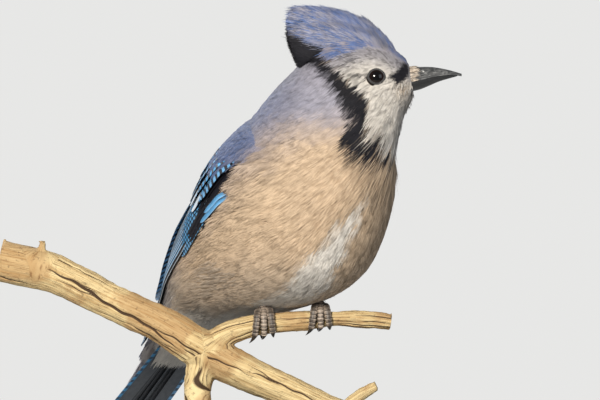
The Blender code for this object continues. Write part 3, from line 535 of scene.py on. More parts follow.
def flight_effect():
    """Blue webs with black bars, dark inner webs, pale tips and barbs, by a feather's own coordinates."""
    group, given, out = effect("Barred vane", {"Blue": "Color", "Dark": "Color", "Pale": "Color"},
                               {"Color": "Color", "Height": "Float"})
    if given is None:
        return group
    blue, dark, pale, barred = four(group, "marks")
    chance, phase, along, across = four(group, "fine")
    barb = maths(group, "ADD", maths(group, "MULTIPLY", along, 9.0),
                 maths(group, "MULTIPLY", maths(group, "ABSOLUTE", across), -7.0))
    stripes = maths(group, "SINE", barb)
    noisy = {"Vector": position(group), "Scale": 400.0, "Detail": 2.0}
    wobble = wire(group, "ShaderNodeTexNoise", noisy).outputs[0]
    turns = maths(group, "ADD", maths(group, "MULTIPLY_ADD", chance, 7.0, phase),
                  maths(group, "MULTIPLY", wobble, 0.3))
    wave = maths(group, "SINE", maths(group, "MULTIPLY", turns, 2 * math.pi))
    bar = maths(group, "MULTIPLY", ramp(group, wave, -0.05, 0.2), barred)
    colour = blend(group, ramp(group, chance, 0, 1, 0.0, 0.35), given.outputs["Blue"], given.outputs["Pale"])
    colour = blend(group, maths(group, "SUBTRACT", 1.0, blue), colour, given.outputs["Dark"])
    colour = blend(group, dark, colour, given.outputs["Dark"])
    colour = blend(group, bar, colour, given.outputs["Dark"])
    colour = blend(group, pale, colour, given.outputs["Pale"])
    shaft = ramp(group, maths(group, "ABSOLUTE", across), 0.12, 0.26, 0.4, 0.0)
    colour = blend(group, shaft, colour, given.outputs["Dark"])
    light = maths(group, "ADD", ramp(group, stripes, -1, 1, 0.92, 1.04),
                  ramp(group, wobble, 0.3, 0.7, -0.12, 0.1))
    group.links.new(shaded(group, colour, light), out.inputs["Color"])
    group.links.new(stripes, out.inputs["Height"])
    return group


def flight_material(context):
    """Stiff barred feathers of the wings and the tail."""
    made = bpy.data.materials.get("flight_feathers")
    if made:
        return made
    colours = context.scene.jay_plumage
    made, tree, shader = finish("flight_feathers", 0.55, Specular_IOR_Level=0.25)
    node = wire(tree, "ShaderNodeGroup", {"Blue": rgba(colours.wing_blue), "Dark": rgba(colours.black),
                                          "Pale": rgba(colours.pale_edge)}, node_tree=flight_effect())
    tree.links.new(node.outputs["Color"], shader.inputs["Base Color"])
    bump(tree, shader, node.outputs["Height"], 0.1, 0.0002)
    return made


# Feathers
def laid(place, angle, length, sweep, sink, rise, over=0.0):
    """Root, middle and tip of feathers that lie along the body, with the directions out of the body there."""
    along, across = body_slopes(place, angle)
    turn = np.radians(sweep) * np.sign(angle)
    to_place = -length * np.cos(turn) / np.linalg.norm(along, axis=-1)
    to_angle = length * np.sin(turn) / np.linalg.norm(across, axis=-1)
    points, normals = [], []
    for t in (0, 0.5, 1):
        p, a = np.maximum(place + to_place * t, 0.3), angle + to_angle * t
        normal = body_normal(p, a)
        lift = -sink * (1 - t) ** 2 + rise * t + over * min(1.0, 1.6 * t)
        points.append(body_point(p, a) + normal * np.asarray(lift)[..., None])
        normals.append(normal)
    return np.stack(points), np.stack(normals), place + to_place * 0.82, angle + to_angle * 0.82


def tufts(rng, points, normals, width, marks, roots, barbs=20, ruffle=0.3, reach=0.42, thin=0.17, vane=0.25):
    """Body feathers: each a thin closed vane under loose tapered barbs that spread from shaft to tip."""
    count = len(width)
    turned = np.where(np.arange(barbs) % 2 == 0, 1.0, -1.0)
    f = (np.arange(barbs) + 0.5) / barbs
    start = 0.05 + 0.66 * f + rng.uniform(-0.05, 0.05, (count, barbs))
    end = np.minimum(start + reach + 0.14 * rng.uniform(-1, 1, (count, barbs)), 1.25)
    spread = turned * (1.1 - 0.85 * f ** 2.5) * rng.uniform(0.3, 1.25, (count, barbs)) * width[:, None]
    lifted = rng.uniform(-0.35, 1.0, (count, barbs)) * ruffle
    broadest = 0.35                             # where along a barb it is broadest
    t = np.stack([start, start + broadest * (end - start), start + broadest * (end - start), end], -1)
    s = np.stack([spread * 0.3, spread * 0.55 - thin, spread * 0.55 + thin, spread], -1)
    ridge = broadest * lifted + 0.4 * thin
    h = np.stack([0 * lifted, ridge, ridge, lifted], -1)
    rows = np.array((0.0, 0.45, 0.82))
    broad = np.array((0.35, 0.9, 0.4))
    vt = np.repeat(rows, 4)[None].repeat(count, 0)
    vs = (np.repeat(broad, 4) * np.tile((-0.92, 0.92, 0.92, -0.92), 3))[None] * width[:, None]
    vh = np.tile((-1.2, -1.2, -2.0, -2.0), 3)[None].repeat(count, 0) * vane - 0.05
    t = np.concatenate([vt, t.reshape(count, -1)], 1)
    s = np.concatenate([vs, s.reshape(count, -1)], 1)
    h = np.concatenate([vh, h.reshape(count, -1)], 1)
    bend = 2 * points[1] - 0.5 * (points[0] + points[2])
    tt = t[..., None]
    centre = (points[0][:, None] * (1 - tt) ** 2 + bend[:, None] * 2 * tt * (1 - tt)
              + points[2][:, None] * tt ** 2)
    ahead = (bend - points[0])[:, None] * (1 - tt) + (points[2] - bend)[:, None] * tt
    soft = unit(normals[0][:, None] * (1 - tt) + normals[2][:, None] * tt)
    side = unit(np.cross(soft, ahead))
    out = unit(np.cross(ahead, side))
    share = s / width[:, None]
    camber = 0.06 * share ** 2 * width[:, None]
    place = centre + side * s[..., None] + out * (h - camber)[..., None]
    size = 12 + 4 * barbs
    vane_tris = [(0, 1, 2), (0, 2, 3), (8, 10, 9), (8, 11, 10)]
    for k in (0, 4):
        for i, j in ((0, 1), (1, 2), (2, 3), (3, 0)):
            vane_tris += [(k + i, k + 4 + j, k + j), (k + i, k + 4 + i, k + 4 + j)]
    barb_tris = np.array(((0, 1, 2), (3, 2, 1), (0, 3, 1), (0, 2, 3)))
    block = [np.array(vane_tris)] + [barb_tris + 12 + 4 * b for b in range(barbs)]
    tris = (np.concatenate(block)[None] + (np.arange(count) * size)[:, None, None]).reshape(-1, 3)
    fine = np.empty((count, size, 4))
    fine[..., 0] = rng.uniform(0, 1, (count, 1))
    fine[:, :12, 1] = 0.4
    fine[:, 12:, 1] = np.repeat(rng.uniform(0, 1, (count, barbs)), 4, axis=1)
    fine[..., 2] = np.clip(t, 0, 1)
    fine[..., 3] = np.abs(share)
    uv = roots[:, None] + np.stack([(np.clip(t, 0, 1.1) - 0.5) * PATCH_LENGTH, share * PATCH_HALF], -1)
    return {"points": place.reshape(-1, 3), "tris": tris, "fine": fine.reshape(-1, 4),
            "soft": soft.reshape(-1, 3), "marks": np.repeat(marks, size, axis=0), "uv": uv.reshape(-1, 2)}


def spread_over(rng, start, end, gap):
    """Roots over both sides of the body in staggered rows, as places and angles."""
    places, angles = [], []
    p, row = start, 0
    ring = np.linspace(0.0, 180.0, 90)
    while p < end:
        run = distances(body_point(np.full(len(ring), p), ring))
        g = np.interp(p, COAT_PLACES, COAT_LENGTHS) * gap
        count = max(2, int(run[-1] / g))
        spots = (np.arange(count) + (0.25 if row % 2 else 0.75)) / count * run[-1]
        for side in (-1, 1):
            a = np.interp(spots + rng.normal(0, 0.16 * g, count), run, ring)
            angles.append(a * side)
            places.append(np.full(count, p) + rng.normal(0, 0.1, count) * g / 8)
        along = np.linalg.norm(body_point(p + 0.1, 90.0) - body_point(p - 0.1, 90.0)) / 0.2
        p += g / along
        row += 1
    return np.concatenate(places), np.concatenate(angles)


def body_uv(place, angle):
    """A root's place on the unwrap of the body's own shape."""
    return np.stack([0.02 + 0.96 * place / 17.2, 0.02 + 0.74 * (angle % 360) / 360], -1)


def coat_pieces(name, batches, material, limit=190000):
    """Settled objects that hold the batches of feathers, each under the limit of triangles."""
    number, held, total = 1, [], 0
    for batch in batches + [None]:
        if batch is None or (total and total + len(batch["tris"]) > limit):
            settle(mesh_from("%s_%d" % (name, number), joined(held), material))
            number, held, total = number + 1, [], 0
        if batch is not None:
            held.append(batch)
            total += len(batch["tris"])


def in_lots(lot, *lists):
    """Slices of long lists, so that each lot of feathers stays small."""
    for k in range(0, len(lists[0]), lot):
        yield [values[k:k + lot] for values in lists]


def wing_cover(place, angle):
    """How far inside the folded wing's edges a point is, in degrees; below zero it is outside."""
    u = np.clip((place - WING_START) / (WING_END - WING_START), 0, 1)
    low, high = smooth(WING_LOW, u * 4), smooth(WING_HIGH, u * 4)
    turn = degrees_off(angle)
    inside = np.minimum(low - turn, turn - high)
    beyond = (place > WING_START + 0.1) | (place < WING_END + 0.2)
    return np.where(beyond, -90.0, inside), turn > (low + high) / 2


def body_feathers(rng, place, angle, settings):
    """Feathers of the torso and neck at their roots, lying back along the body and over the wings' edges."""
    length = np.interp(place, COAT_PLACES, COAT_LENGTHS) * rng.uniform(0.85, 1.15, len(place))
    turn = degrees_off(angle)
    throat = soft_step(turn - 115, 40) * soft_step(place - 12.2, 0.8)
    length = length * (1 + 0.35 * throat)
    flank = soft_step(turn - 80, 20) * soft_step(150 - turn, 30)
    flank = flank * soft_step(10.5 - place, 2) * soft_step(place - 3, 1)
    mantle = soft_step(60 - turn, 30) * soft_step(11.5 - place, 1.5)
    sweep = -24 * flank + 10 * mantle + rng.normal(0, 5, len(place))
    depth = np.interp(place, COAT_PLACES, COAT_DEPTHS)
    inside, lower = wing_cover(place, angle)
    near = soft_step(inside + 12, 16)
    low, high = WING_LOW[0], WING_HIGH[0]
    before = soft_step(np.minimum(low - turn, turn - high) + 4, 16)
    before = before * soft_step(11.2 - place, 0.9) * (inside < -80)
    high_up = 2.6 + 0.9 * soft_step(place - 7.8, 1.0)
    over = np.maximum(near * np.where(lower, high_up, 2.4), before * 2.2 * (place > WING_END + 2))
    fluff = 0.15 + 0.3 * soft_step(turn - 95, 40) * soft_step(6.5 - place, 3) + 0.9 * throat
    rise = 0.1 + rng.uniform(-0.25, 0.4, len(place)) * fluff
    points, normals, p, a = laid(place, angle, length, sweep, depth, rise, over)
    marks = markings(p + rng.normal(0, 0.04, len(p)), a + rng.normal(0, 1.8, len(p)), points[2])
    width = length * settings.width * (1 - 0.35 * throat)
    return tufts(rng, points, normals, width, marks, body_uv(place, angle), settings.barbs,
                 0.1 + 0.5 * fluff.mean(), 0.6, settings.barb * 0.5 / MM)


def face_feathers(rng, place, angle, length, settings):
    """Small feathers of the head, longer and looser down the throat."""
    turn = degrees_off(angle)
    throat = soft_step(turn - 110, 40)
    depth = np.interp(place, COAT_PLACES, COAT_DEPTHS)
    spots = body_point(place, angle)
    crown = soft_step(spots[:, 2] - np.interp(spots[:, 0], CROWN_X, CROWN_Z) + 2.0, 3.0)
    crown = crown * soft_step(turn - 22, 8) * soft_step(16.3 - place, 1.0) * soft_step(place - 13.7, 0.6)
    length = length * (1 + 1.3 * crown)
    sweep = rng.normal(6, 7, len(place)) * (turn > 60) - 30 * crown
    rise = 0.15 + rng.uniform(-0.15, 0.3, len(place)) * (1 + 2.2 * throat)
    points, normals, p, a = laid(place, angle, length, sweep, depth + crown, rise, 1.7 * crown)
    marks = markings(p + rng.normal(0, 0.02, len(p)), a + rng.normal(0, 1.0, len(p)),
                     points[1] * 0.4 + points[2] * 0.6)
    brow = marks[:, 3] * (marks[:, 0] < 0.3)
    # Dark feathers scattered through the face, more at the brow's streaks and down the throat, where they
    # stand partly for painted shade between its long feathers
    dark = (rng.uniform(0, 1, len(p)) < 0.12 + 0.2 * throat + 0.3 * brow) * (marks[:, 0] < 0.3)
    dark = dark * (0.42 + 0.25 * brow)
    marks[:, 1] = np.maximum(marks[:, 1], dark)
    pale = crown * (rng.uniform(0, 1, len(p)) < 0.4) * 0.7
    marks[:, 0] *= 1 - pale
    marks[:, 3] = np.maximum(marks[:, 3], pale)
    width = length * settings.width * (1 - 0.3 * throat)
    return tufts(rng, points, normals, width, marks, body_uv(place, angle), 12, 0.25, 0.45,
                 settings.barb * 0.36 / MM, 0.12)


def crest_feathers(rng, settings):
    """Long narrow feathers that sweep back over the crown, blue above and black at the nape."""
    rows, angles = [], []
    for k, row in enumerate(np.arange(0.1, 8.95, 0.13)):
        spots = np.arange(-136, 137, 6.5) + (3.25 if k % 2 else 0)
        rows.append(np.full(len(spots), row) + rng.normal(0, 0.05, len(spots)))
        angles.append(spots + rng.normal(0, 1.8, len(spots)))
    row, angle = np.concatenate(rows), np.concatenate(angles)
    root = crest_spot(row, angle, 0.88)
    turn = 4.0
    along = unit(crest_spot(row + 0.2, angle, 1.0) - crest_spot(row - 0.2, angle, 1.0))
    across = crest_spot(row, angle + turn, 1.0) - crest_spot(row, angle - turn, 1.0)
    normal = unit(np.cross(across, along))
    upward = np.stack([0 * angle, np.sin(np.radians(angle)), np.cos(np.radians(angle)) + 0.2], -1)
    normal *= np.sign((normal * upward).sum(-1, keepdims=True))
    back = soft_step(row - 6.0, 2.0)[:, None]
    level = unit(np.stack([-np.ones_like(row), 0 * row, np.interp(row, (6, 9), (0.55, 0.25))], -1))
    slant = 0.3 * np.abs(np.sin(np.radians(angle)))[:, None] * np.array((0, 0, 1.0))
    ahead = unit((along + slant) * (1 - back) + level * back)
    normal = unit(normal - ahead * (normal * ahead).sum(-1, keepdims=True))
    end = rng.uniform(-2.0, 4.5, len(row)) + np.interp(row, (6.5, 9), (0, 4.0))
    length = np.clip((root[:, 0] - end) / np.maximum(-ahead[:, 0], 0.25), 3.0, 11.5)
    length *= rng.uniform(0.8, 1.0, len(row))
    edge = soft_step(np.abs(angle) - 112, 50)
    root = root - normal * (0.9 + 0.5 * edge)[:, None]
    tip = root + ahead * length[:, None]
    tip = tip + normal * ((1.0 + rng.uniform(-0.3, 0.45, len(row))) * (1 - 0.6 * edge))[:, None]
    middle = (root + tip) / 2 + normal * (0.35 * (1 - edge))[:, None]
    x, z = tip[:, 0], tip[:, 2]
    black = soft_step(np.interp(x, NAPE_X, NAPE_Z) - z + rng.normal(0, 1.0, len(row)), 2.0) * (x < 24)
    above = middle[:, 2] - np.interp(middle[:, 0], CROWN_X, CROWN_Z)
    crown = np.maximum(soft_step(above, 2.0), soft_step(18 - middle[:, 0], 2))
    pale = (rng.uniform(0, 1, len(row)) < 0.5) * rng.uniform(0.3, 0.9, len(row))
    pale = pale * soft_step(np.abs(angle) - 20, 30)
    # Grey-violet low on the crest: partly the brow's own grey, partly painted shade to dull the face that
    # turns to the light
    grey = 0.85 * soft_step(above + 6, 5)
    shade = 0.3 * (rng.uniform(0, 1, len(row)) < 0.3) * (1 - pale)
    white = np.maximum(pale, (1 - crown) * (1 - 0.5 * grey))
    marks = marks_of(len(row), crown * (1 - pale), np.maximum(black, shade), white,
                     np.maximum(0.45 * pale, grey))
    roots = np.stack([0.05 + 0.9 * np.clip(row, 0, 9) / 9, 0.9 + 0.08 * angle / 145], -1)
    normals = np.stack([normal] * 3)
    return tufts(rng, np.stack([root, middle, tip]), normals, length * 0.14, marks, roots, 10, 0.3, 0.5,
                 settings.barb * 0.4 / MM, 0.15)


def wisps(rng, side):
    """Long loose barbs that lie over the low flank and the wing's lower edge."""
    count = 420
    place = rng.uniform(4.5, 7.2, count)
    turn = rng.uniform(96, 134, count)
    length = rng.uniform(8, 15, count)
    depth = np.interp(place, COAT_PLACES, COAT_DEPTHS)
    points, normals, _, _ = laid(place, side * turn, length, rng.normal(-24, 6, count), depth,
                                 rng.uniform(0.0, 0.7, count), 0.3)
    return tufts(rng, points, normals, np.full(count, 0.5), marks_of(count, white=0.3),
                 body_uv(place, side * turn), 6, 0.7, 0.7, 0.07, 0.06)


def thigh_radius(share, least):
    """A thigh's radius at a share of the way from hip to ankle, over its least radius."""
    return least + 6.4 * np.sin(math.pi * (0.12 + 0.88 * np.clip(1 - share, 0, 1)) ** 0.8)


def thigh_feathers(rng, side, settings):
    """Short, soft feathers down a thigh."""
    hip, ankle, _ = LEGS[side]
    start, end = np.array(hip, float), np.array(ankle, float)
    count = 260
    t, around = rng.uniform(0.1, 0.86, count), rng.uniform(0, 360, count)
    out = directions(unit(end - start), np.radians(around))

    def ring(f, lift):
        """Points round the thigh at a share of its length."""
        return start + (end - start) * f[:, None] + out * (thigh_radius(f, 2.6) + lift)[:, None]

    step = 6.0 / np.linalg.norm(end - start)
    points = np.stack([ring(t, -1.0 + 0 * t), ring(t + step / 2, 0.1 + 0 * t),
                       ring(t + step, 0.3 + rng.uniform(0, 0.5, count))])
    roots = np.stack([0.1 + 0.3 * t + (0.4 if side == "left" else 0.0), 0.79 + 0.02 * around / 360], -1)
    return tufts(rng, points, np.stack([out] * 3), np.full(count, 1.8), marks_of(count, white=0.25), roots, 9,
                 0.4, 0.5, settings.barb * 0.45 / MM, 0.2)


def blade(axis, normals, left, right, rise, thickness, camber, columns, values):
    """A stiff feather: a thin closed blade along an axis, with a raised shaft, and a grid on both faces."""
    rows = len(axis)
    ahead = unit(np.gradient(axis, axis=0))
    out = unit(normals - ahead * (normals * ahead).sum(-1, keepdims=True))
    side = unit(np.cross(out, ahead) + out * rise)
    out = unit(np.cross(ahead, side))
    f = np.linspace(-1, 1, columns)
    across = np.where(f < 0, f * right[:, None], f * left[:, None])
    sag = camber * f ** 2 * np.maximum(left, right)[:, None]
    shaft = np.exp(-(across / 0.35) ** 2) * 0.16
    shape = 1 - 0.75 * f ** 4
    top = (axis[:, None] + side[:, None] * across[..., None]
           + out[:, None] * (thickness / 2 * shape + shaft - sag)[..., None])
    low = (axis[:, None] + side[:, None] * across[..., None]
           - out[:, None] * (thickness / 2 * shape + shaft * 0.6 + sag)[..., None])
    points = np.concatenate([top.reshape(-1, 3), low.reshape(-1, 3)])
    grid = np.arange(rows * columns).reshape(rows, columns)
    a, b, c, d = grid[:-1, :-1], grid[:-1, 1:], grid[1:, 1:], grid[1:, :-1]
    face = np.stack([np.stack([a, b, c], -1), np.stack([a, c, d], -1)], -2).reshape(-1, 3)
    size = rows * columns
    rim = np.concatenate([grid[0, ::-1], grid[1:, 0], grid[-1, 1:], grid[-2:0:-1, -1]])
    following = np.roll(rim, -1)
    edge = np.concatenate([np.stack([rim, following, following + size], -1),
                           np.stack([rim, following + size, rim + size], -1)])
    length = distances(axis)
    fine = np.empty((rows, columns, 4))
    fine[..., 0] = values["chance"]
    fine[..., 1] = (length / values["bar_gap"])[:, None]
    fine[..., 2] = length[:, None]
    fine[..., 3] = across
    t = (length / length[-1])[:, None]
    share = f[None]                             # -1 at the right edge, 1 at the left
    outer = share * values["outer"]             # 1 at the outer edge
    marks = np.empty((rows, columns, 4))
    marks[..., 0] = 1 - soft_step(-outer - values["web"], 0.25) * values["dark_inner"]
    marks[..., 1] = np.maximum(values["dark"], soft_step(values["dark_root"] - t, 0.12))
    rim_pale = values["edge"] * soft_step(outer - 0.88, 0.2)
    marks[..., 2] = np.maximum(soft_step(t - 1 + values["tip"] * (1 - 0.35 * share ** 2), 0.05), rim_pale)
    marks[..., 3] = values["bars"] * soft_step(t - 0.12, 0.1)

    def both(top_values):
        """The upper face's values, and the same again for the lower face."""
        return np.concatenate([top_values.reshape(size, -1)] * 2)

    tris = np.concatenate([face, face[:, ::-1] + size, edge])
    uv = values["root"] + np.stack([(t + 0 * share - 0.5) * PATCH_LENGTH, PATCH_HALF * share + 0 * t], -1)
    low_marks = marks.copy()
    if "under" in values:
        rim_blue = soft_step(outer - 0.2, 0.2) * values["rim_blue"]
        low_marks[..., 0] = rim_blue
        low_marks[..., 2] = np.maximum(marks[..., 2] * 0.7, values["under"] * (1 - rim_blue))
        low_marks[..., 3] *= rim_blue
    return {"points": points, "tris": tris[:, ::-1], "fine": both(fine),
            "marks": np.concatenate([marks.reshape(size, 4), low_marks.reshape(size, 4)]), "uv": both(uv)}


def outline(t, root_width, tip_round):
    """A stiff feather's width along it: narrow at the root and rounded at the tip."""
    width = root_width + (1 - root_width) * np.clip(t / 0.3, 0, 1) ** 0.7
    end = np.clip((t - (1 - tip_round)) / tip_round, 0, 1)
    return width * np.sqrt(np.maximum(1 - end ** 2.2, 0.0)) + 0.04


# What a stiff feather looks like where its own table doesn't say otherwise
PLAIN_VANE = {"chance": 0.0, "bar_gap": 3.4, "outer": 1, "web": 0.05, "dark_inner": 1.0, "dark": 0.0,
              "edge": 0.0, "tip": -1.0, "bars": 0.0, "dark_root": 0.0, "root": np.array((0.5, 0.97))}


def wing_place(u, v):
    """Place along the body and angle round it, from a share along the wing and one across it."""
    place = WING_START + (WING_END - WING_START) * u
    low, high = smooth(WING_LOW, u * 4), smooth(WING_HIGH, u * 4)
    return place, low + (high - low) * v


def wing_point(side, u, v, lift):
    """Points off the body under the wing."""
    place, angle = wing_place(u, v)
    return body_point(place, side * angle) + body_normal(place, side * angle) * np.asarray(lift)[..., None]


def wing_lift(u, v):
    """How far off the body the flight feathers lie, in mm."""
    return smooth(WING_OFF, u * 4) + WING_STACK * np.minimum(1.0, 1.7 * v)


def wing_blade(side, root, tip, lifts, half, rise, rows, columns, values, thickness=0.22, tip_round=0.14):
    """A wing feather from root to tip, both places along and across the wing, with its lifts off the body."""
    t = np.linspace(0, 1, rows)
    u, v = root[0] + (tip[0] - root[0]) * t, root[1] + (tip[1] - root[1]) * t
    lift = lifts[0] + (lifts[1] - lifts[0]) * np.minimum(1.0, 2.2 * t)
    axis = wing_point(side, u, v, lift)
    place, angle = wing_place(u, v)
    normals = body_normal(place, side * angle)
    width = outline(t, 0.35, tip_round)
    lower, upper = half[0] * width, half[1] * width
    values = dict(PLAIN_VANE, **values)
    values["root"] = np.array((0.05 + 0.9 * float(tip[0]), WING_ROW[side] + 0.03 * float(tip[1])))
    if side < 0:
        return blade(axis, normals, lower, upper, rise, thickness, 0.06, columns, values)
    values["outer"] = -1
    return blade(axis, normals, upper, lower, -rise, thickness, 0.06, columns, values)


def wing_feathers(rng, side):
    """Primaries and secondaries like tiles, each over the one below, then rows of coverts and the alula."""
    made = []
    for i in range(FLIGHT_FEATHERS):
        f = i / (FLIGHT_FEATHERS - 1)
        end = float(smooth(FLIGHT_TIPS, f * 10))
        primary = i < PRIMARIES
        root_v, tip_v = 0.16 + 0.74 * f, 0.08 + 0.86 * f
        if primary:
            tip_v = -0.04 + 0.115 * min(i, 5) + 0.05 * max(0, i - 5)
        half = (1.15, 4.2) if primary else (2.9, 4.2)
        looks = {"chance": rng.uniform(0.0, 0.6), "bar_gap": 3.6 + rng.uniform(-0.3, 0.3), "dark_root": 0.2}
        if primary:
            # The lowest primary is wholly dark: partly its own dark webs, partly painted shadow under the
            # wing's lower edge
            looks.update(web=-0.5, edge=0.95, chance=rng.uniform(0.0, 0.45), dark=1.0 if i == 0 else 0.0)
        else:
            looks.update(web=0.1, bars=0.95, tip=0.07 if i < 17 else 0.04, edge=0.1)
        lift = wing_lift(end, f * 1.05)
        made.append(wing_blade(side, (0.27, root_v), (end, tip_v), (1.9, lift), half, 0.25, 44,
                               13 if primary else 9, looks))
    for count, start, ends, spread, over, half, looks in COVERTS:
        for i in range(count):
            f = i / (count - 1)
            v = spread[0] + (spread[1] - spread[0]) * f
            end = ends[0] + (ends[1] - ends[0]) * f + rng.uniform(-0.008, 0.008)
            values = dict(looks, chance=looks.get("chance", rng.uniform(0.0, 0.6)))
            made.append(wing_blade(side, (start, v * 0.94 + 0.03 - looks.get("drop", 0.0)), (end, v),
                                   (looks.get("root_lift", 1.6), wing_lift(end, v) + over),
                                   (half * 0.9, half * 1.1), 0.2, 26, 7, values, 0.26, 0.22))
    return made


def shoulder_feathers(rng, side, settings):
    """Small lavender feathers over the wing's front, and the long soft ones that hang over its upper edge."""
    us, vs = [], []
    for k, u in enumerate(np.arange(-0.03, 0.16, 0.0095)):
        spots = np.arange(0.03, 1.06, 0.042) + (0.021 if k % 2 else 0)
        us.append(np.full(len(spots), u) + rng.normal(0, 0.002, len(spots)))
        vs.append(spots + rng.normal(0, 0.008, len(spots)))
    u, v = np.concatenate(us), np.concatenate(vs)
    kept = u < 0.05 + 0.12 * soft_step(v - 0.2, 0.12)      # the dark gap above the alula stays open
    u, v = u[kept], v[kept]
    length = np.interp(u, (0, 0.1, 0.2), (6.5, 8.5, 9.5)) * rng.uniform(0.9, 1.1, len(u))
    place, angle = wing_place(np.maximum(u, 0), np.clip(v, -0.05, 1.05))
    rounded = 0.15 + 0.85 * np.clip(np.sin(math.pi * np.clip(v, 0, 1)), 0, 1) ** 0.5
    starts = (wing_lift(np.clip(u, 0, 1), v) + 1.9) * rounded * soft_step(u - 0.035, 0.13)
    ends = (wing_lift(np.clip(u + 0.07, 0, 1), v) + 2.3) * rounded * soft_step(u + 0.07 - 0.035, 0.13)
    points, normals, _, _ = laid(place, side * angle, length, rng.normal(0, 5, len(u)), 0, 0)
    more = np.stack([starts - 1.6, (starts + ends) / 2 + 0.1, ends + 0.15])
    points = points + normals * more[..., None]
    blue = (0.8 + 0.2 * soft_step(u - 0.03, 0.12)) * soft_step(v - 0.1, 0.3)
    blue = np.clip(blue + rng.uniform(-0.08, 0.08, len(u)), 0, 1)
    violet = soft_step(v - 0.08 + rng.normal(0, 0.07, len(u)), 0.22)
    marks = marks_of(len(u), blue, 0.22 * violet, violet=violet)
    roots = np.stack([0.05 + 0.9 * np.maximum(u, 0), WING_ROW[side] + 0.03 * np.clip(v, 0, 1)], -1)
    return tufts(rng, points, normals, length * settings.width * 0.9, marks, roots, settings.barbs, 0.18,
                 0.45, settings.barb * 0.42 / MM)


def tail_feathers(rng):
    """Twelve long barred feathers in a shallow roof, grey below with a blue outer edge."""
    yaw, pitch = math.radians(TAIL_YAW), math.radians(TAIL_PITCH)
    ahead = np.array((-math.cos(pitch) * math.cos(yaw), math.cos(pitch) * math.sin(yaw), -math.sin(pitch)))
    left = np.array((math.sin(yaw), math.cos(yaw), 0.0))
    up = np.cross(-ahead, left)
    made = []
    t = np.linspace(0, 1, 60)
    outermost = len(TAIL_OUT) - 1
    for side in (-1, 1):
        for k, (out, reach) in enumerate(zip(TAIL_OUT, TAIL_REACH)):
            level = 1.7 - 0.85 * (k + (1 if side > 0 and k == 0 else 0) + (1 if k > 0 else 0))
            far = 0.22 + (reach - 0.22) * t
            apart = out * (TAIL_SPREAD + (1 - TAIL_SPREAD) * t)
            axis = (TAIL_BASE + ahead * (TAIL_LENGTH * far)[:, None] + left * (side * apart)[:, None]
                    + up * level)
            width = outline(t, 0.45, 0.09)
            inner = np.minimum(7.0 * width, 7.0 if k == 0 else apart - 0.3)
            outer = (4.6 - 0.4 * k) * width
            values = dict(PLAIN_VANE, chance=rng.uniform(0.0, 0.5), bar_gap=4.2, web=0.2 if k else 1.0,
                          tip=0.0 if k == 0 else 0.05 + 0.012 * k, bars=0.8, outer=-side,
                          under=0.05 + 0.07 * (k % 2), rim_blue=1.0 if k == outermost else 0.25,
                          edge=0.3 if k == outermost else 0.0,
                          root=np.array((0.05 + 0.07 * k, 0.94 + 0.01 * side)))
            left_width, right_width = (outer, inner) if side < 0 else (inner, outer)
            made.append(blade(axis, np.tile(up, (len(t), 1)), left_width, right_width, 0, 0.3, 0.03, 9,
                              values))
    return made


# Bare parts
def swept(centres, radii, around, chance=0.5):
    """A closed tube along centres, with its length in mm and its turn as coordinates."""
    ahead = unit(np.gradient(centres, axis=0))
    side = np.zeros_like(ahead)
    previous = np.cross(ahead[0], (0.0, 1.0, 0.2))
    for k, direction in enumerate(ahead):
        previous = unit(previous - direction * (previous * direction).sum())
        side[k] = previous
    up = np.cross(ahead, side)
    a = np.linspace(0, 2 * math.pi, around, endpoint=False)
    rings = (centres[:, None] + side[:, None] * (radii[:, None] * np.cos(a))[..., None]
             + up[:, None] * (radii[:, None] * np.sin(a))[..., None])
    data = loft(rings)
    data["points"][-2:] = centres[[0, -1]]
    length = distances(centres)
    fine = np.empty((len(centres), around, 4))
    fine[..., 0] = chance
    fine[..., 1] = length[:, None]
    fine[..., 2] = np.cos(a)
    fine[..., 3] = (length / length[-1])[:, None]
    caps = np.array([[chance, 0, 0, 0], [chance, length[-1], 0, 1]])
    data["fine"] = np.concatenate([fine.reshape(-1, 4), caps])
    return data


def loft(rings):
    """A closed skin through rings of equally many points."""
    rows, around, _ = rings.shape
    ends = np.stack([rings[0].mean(0), rings[-1].mean(0)])
    points = np.concatenate([rings.reshape(-1, 3), ends])
    grid = np.arange(rows * around).reshape(rows, around)
    a0, b0, c0, d0 = grid[:-1], np.roll(grid[:-1], -1, 1), np.roll(grid[1:], -1, 1), grid[1:]
    tris = [np.stack([np.stack([a0, b0, c0], -1), np.stack([a0, c0, d0], -1)], -2).reshape(-1, 3)]
    start, end = rows * around, rows * around + 1
    tris.append(np.stack([np.full(around, start), np.roll(grid[0], -1), grid[0]], -1))
    tris.append(np.stack([np.full(around, end), grid[-1], np.roll(grid[-1], -1)], -1))
    return {"points": points, "tris": np.concatenate(tris)}


def voxel_points(parts, voxel):
    """Points and triangles of one closed skin round overlapping parts."""
    data = joined(parts)
    holder = bpy.data.materials.get("holder") or bpy.data.materials.new("holder")
    rough = mesh_from("rough", {"points": data["points"], "tris": data["tris"]}, holder)
    modifier = rough.modifiers.new("remesh", "REMESH")
    modifier.mode = "VOXEL"
    modifier.voxel_size = voxel * MM
    bpy.context.view_layer.update()
    shape = rough.evaluated_get(bpy.context.evaluated_depsgraph_get())
    mesh = bpy.data.meshes.new_from_object(shape)
    mesh.calc_loop_triangles()
    points = np.empty(len(mesh.vertices) * 3, np.float32)
    mesh.vertices.foreach_get("co", points)
    tris = np.empty(len(mesh.loop_triangles) * 3, np.int32)
    mesh.loop_triangles.foreach_get("vertices", tris)
    bpy.data.objects.remove(rough)
    bpy.data.meshes.remove(mesh)
    return points.reshape(-1, 3).astype(float) / MM - SPOT, tris.reshape(-1, 3)


def nearest(points, samples):
    """For each point the number of the nearest sample and its distance."""
    tree = KDTree(len(samples))
    for number, sample in enumerate(samples):
        tree.insert(sample, number)
    tree.balance()
    found = [tree.find(point) for point in points]
    return np.array([f[1] for f in found]), np.array([f[2] for f in found])


